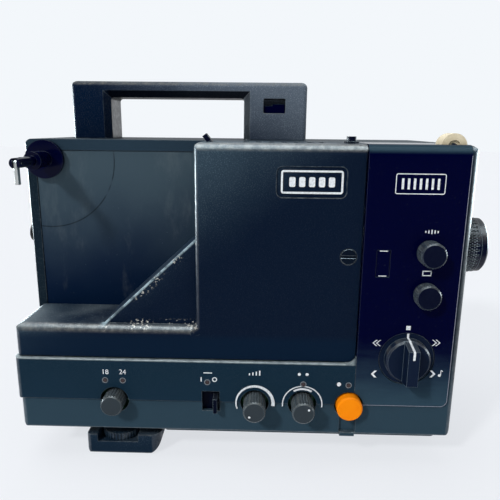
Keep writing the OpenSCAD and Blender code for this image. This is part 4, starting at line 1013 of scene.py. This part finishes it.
# %% [markdown]
# ## Floor
#
# The projector stands on a pale seamless floor. A floor that is lit by lamps alone is either grey or
# has no shadow. So it is partly self-lit to the eye and to mirrors, which keeps it nearly white, and
# the rest of it takes light and keeps a soft shadow.

# %% Floor
FLOOR_GLOW = (0.87, 0.895, 0.94, 1)
SELF_LIT = 0.78
FLOOR_HALF = 6.0


def seen(graph):
    """One for rays from the camera, through glass and from mirrors."""
    ray = graph.add("ShaderNodeLightPath", out="Is Camera Ray")
    eye = ray.math("MAXIMUM", ray, ray.port("Is Transmission Ray"))
    return ray.math("MAXIMUM", eye, ray.port("Is Glossy Ray"))


def floor_finish():
    f = Finish("studio_floor")
    cloud = f.ease(f.noise(3.0, 3.0), 0.3, 0.7)
    colour = f.mix(cloud, (0.86, 0.875, 0.89, 1), (0.88, 0.89, 0.90, 1))
    material = f.set(Base_Color=colour, Roughness=0.65, Specular_IOR_Level=0.0)
    matt = Wire(f, f.shader.outputs[0])
    glow = f.add("ShaderNodeEmission", None, {"Color": FLOOR_GLOW, "Strength": 1.0})
    blend = f.add("ShaderNodeMixShader", None, {0: seen(f) * SELF_LIT, 1: matt, 2: glow})
    f.feed(f.output.inputs[0], blend)
    return material


plane = bmesh.new()
bmesh.ops.create_grid(plane, x_segments=1, y_segments=1, size=FLOOR_HALF)
floor_data = bpy.data.meshes.new("studio_floor")
plane.to_mesh(floor_data)
plane.free()
floor_data.materials.append(floor_finish())
studio_floor = bpy.data.objects.new("studio_floor", floor_data)
bpy.context.collection.objects.link(studio_floor)
print("floor", 2 * max(v.co.x for v in floor_data.vertices), "m wide")

# %% [markdown]
# ## Lamps
#
# A broad sun stands above and a little behind. A window, which is a narrower sun from the front
# left, throws the spindle's shadow on the reel plate. It lights matt surfaces only, so that it makes
# no glare on gloss. Three soft boxes, left, right and above, do the opposite: they shine on glossy
# surfaces only and draw the bright edges, while the black faces stay black.

# %% Lamps
WHITE, COOL = (1, 1, 1), (0.80, 0.94, 1.0)


def lamp(name, kind, place, target, strength, size, tint=WHITE, diffuse=True, glossy=True):
    data = bpy.data.lights.new(name, kind)
    data.energy, data.color = strength, tint
    if kind == "AREA":
        data.shape = "RECTANGLE"
        data.size, data.size_y = size
    else:
        data.angle = size
    item = bpy.data.objects.new(name, data)
    aim = (Vector(target) - Vector(place)).to_track_quat("-Z", "Y").to_matrix().to_4x4()
    item.matrix_world = Matrix.Translation(place) @ aim
    item.visible_diffuse, item.visible_glossy = diffuse, glossy
    item.visible_camera = False
    bpy.context.collection.objects.link(item)


lamp("sky_key", "SUN", (-0.5, 0.3, 2.0), (0, 0, 0.1), 1.3, math.radians(50))
lamp("window", "SUN", (-1.05, -1.17, 1.30), (0, 0, 0.1), 1.8, math.radians(7), glossy=False)
for name, place, target, strength, size in (
        ("left_box", (-1.0, 0.38, 0.16), (-0.05, -0.04, 0.16), 68.0, (1.2, 0.3)),
        ("right_box", (1.0, 0.25, 0.16), (0.10, -0.04, 0.16), 16.0, (1.0, 0.3)),
        ("top_box", (0.0, -0.35, 1.3), (0.0, 0.0, 0.2), 40.0, (1.4, 0.9))):
    lamp(name, "AREA", place, target, strength, size, COOL, diffuse=False)
print("lamps", len(bpy.data.lights))

# %% [markdown]
# ## World
#
# The world gives a weak even light. What the camera and mirrors see of it is a nearly white
# backdrop. In front, where the camera stands, mirrors see it dark, so that black faces stay black.
# A Map Range on the direction of the ray makes that change without a step.

# %% World
PALE = (0.896, 0.930, 0.965, 1)
SOFT_LIGHT, SOFT_STRENGTH = (0.90, 0.955, 1.0, 1), 0.35
FRONT_BEGINS, FRONT_FULL, FRONT_DARK = 0.15, -0.45, 0.95

world = bpy.data.worlds.new("studio")
bpy.context.scene.world = world
world.use_nodes = True
sky = Graph(world.node_tree)
ahead_or_behind = sky.split(sky.add("ShaderNodeTexCoord", out="Generated"), "Y")
front = sky.add("ShaderNodeMapRange", None,
                {0: ahead_or_behind, 1: FRONT_BEGINS, 2: FRONT_FULL, 3: 0.0, 4: FRONT_DARK})
mirrored = sky.add("ShaderNodeLightPath", out="Is Glossy Ray")
soft_light = sky.add("ShaderNodeBackground", None, {"Color": SOFT_LIGHT, "Strength": SOFT_STRENGTH})
backdrop = sky.add("ShaderNodeBackground", None, {"Color": PALE, "Strength": 1 - front * mirrored})
blend = sky.add("ShaderNodeMixShader", None, {0: seen(sky), 1: soft_light, 2: backdrop})
sky.feed(sky.tree.nodes.new("ShaderNodeOutputWorld").inputs[0], blend)
bpy.context.scene.view_settings.view_transform = "Standard"
print("world nodes", len(sky.tree.nodes))
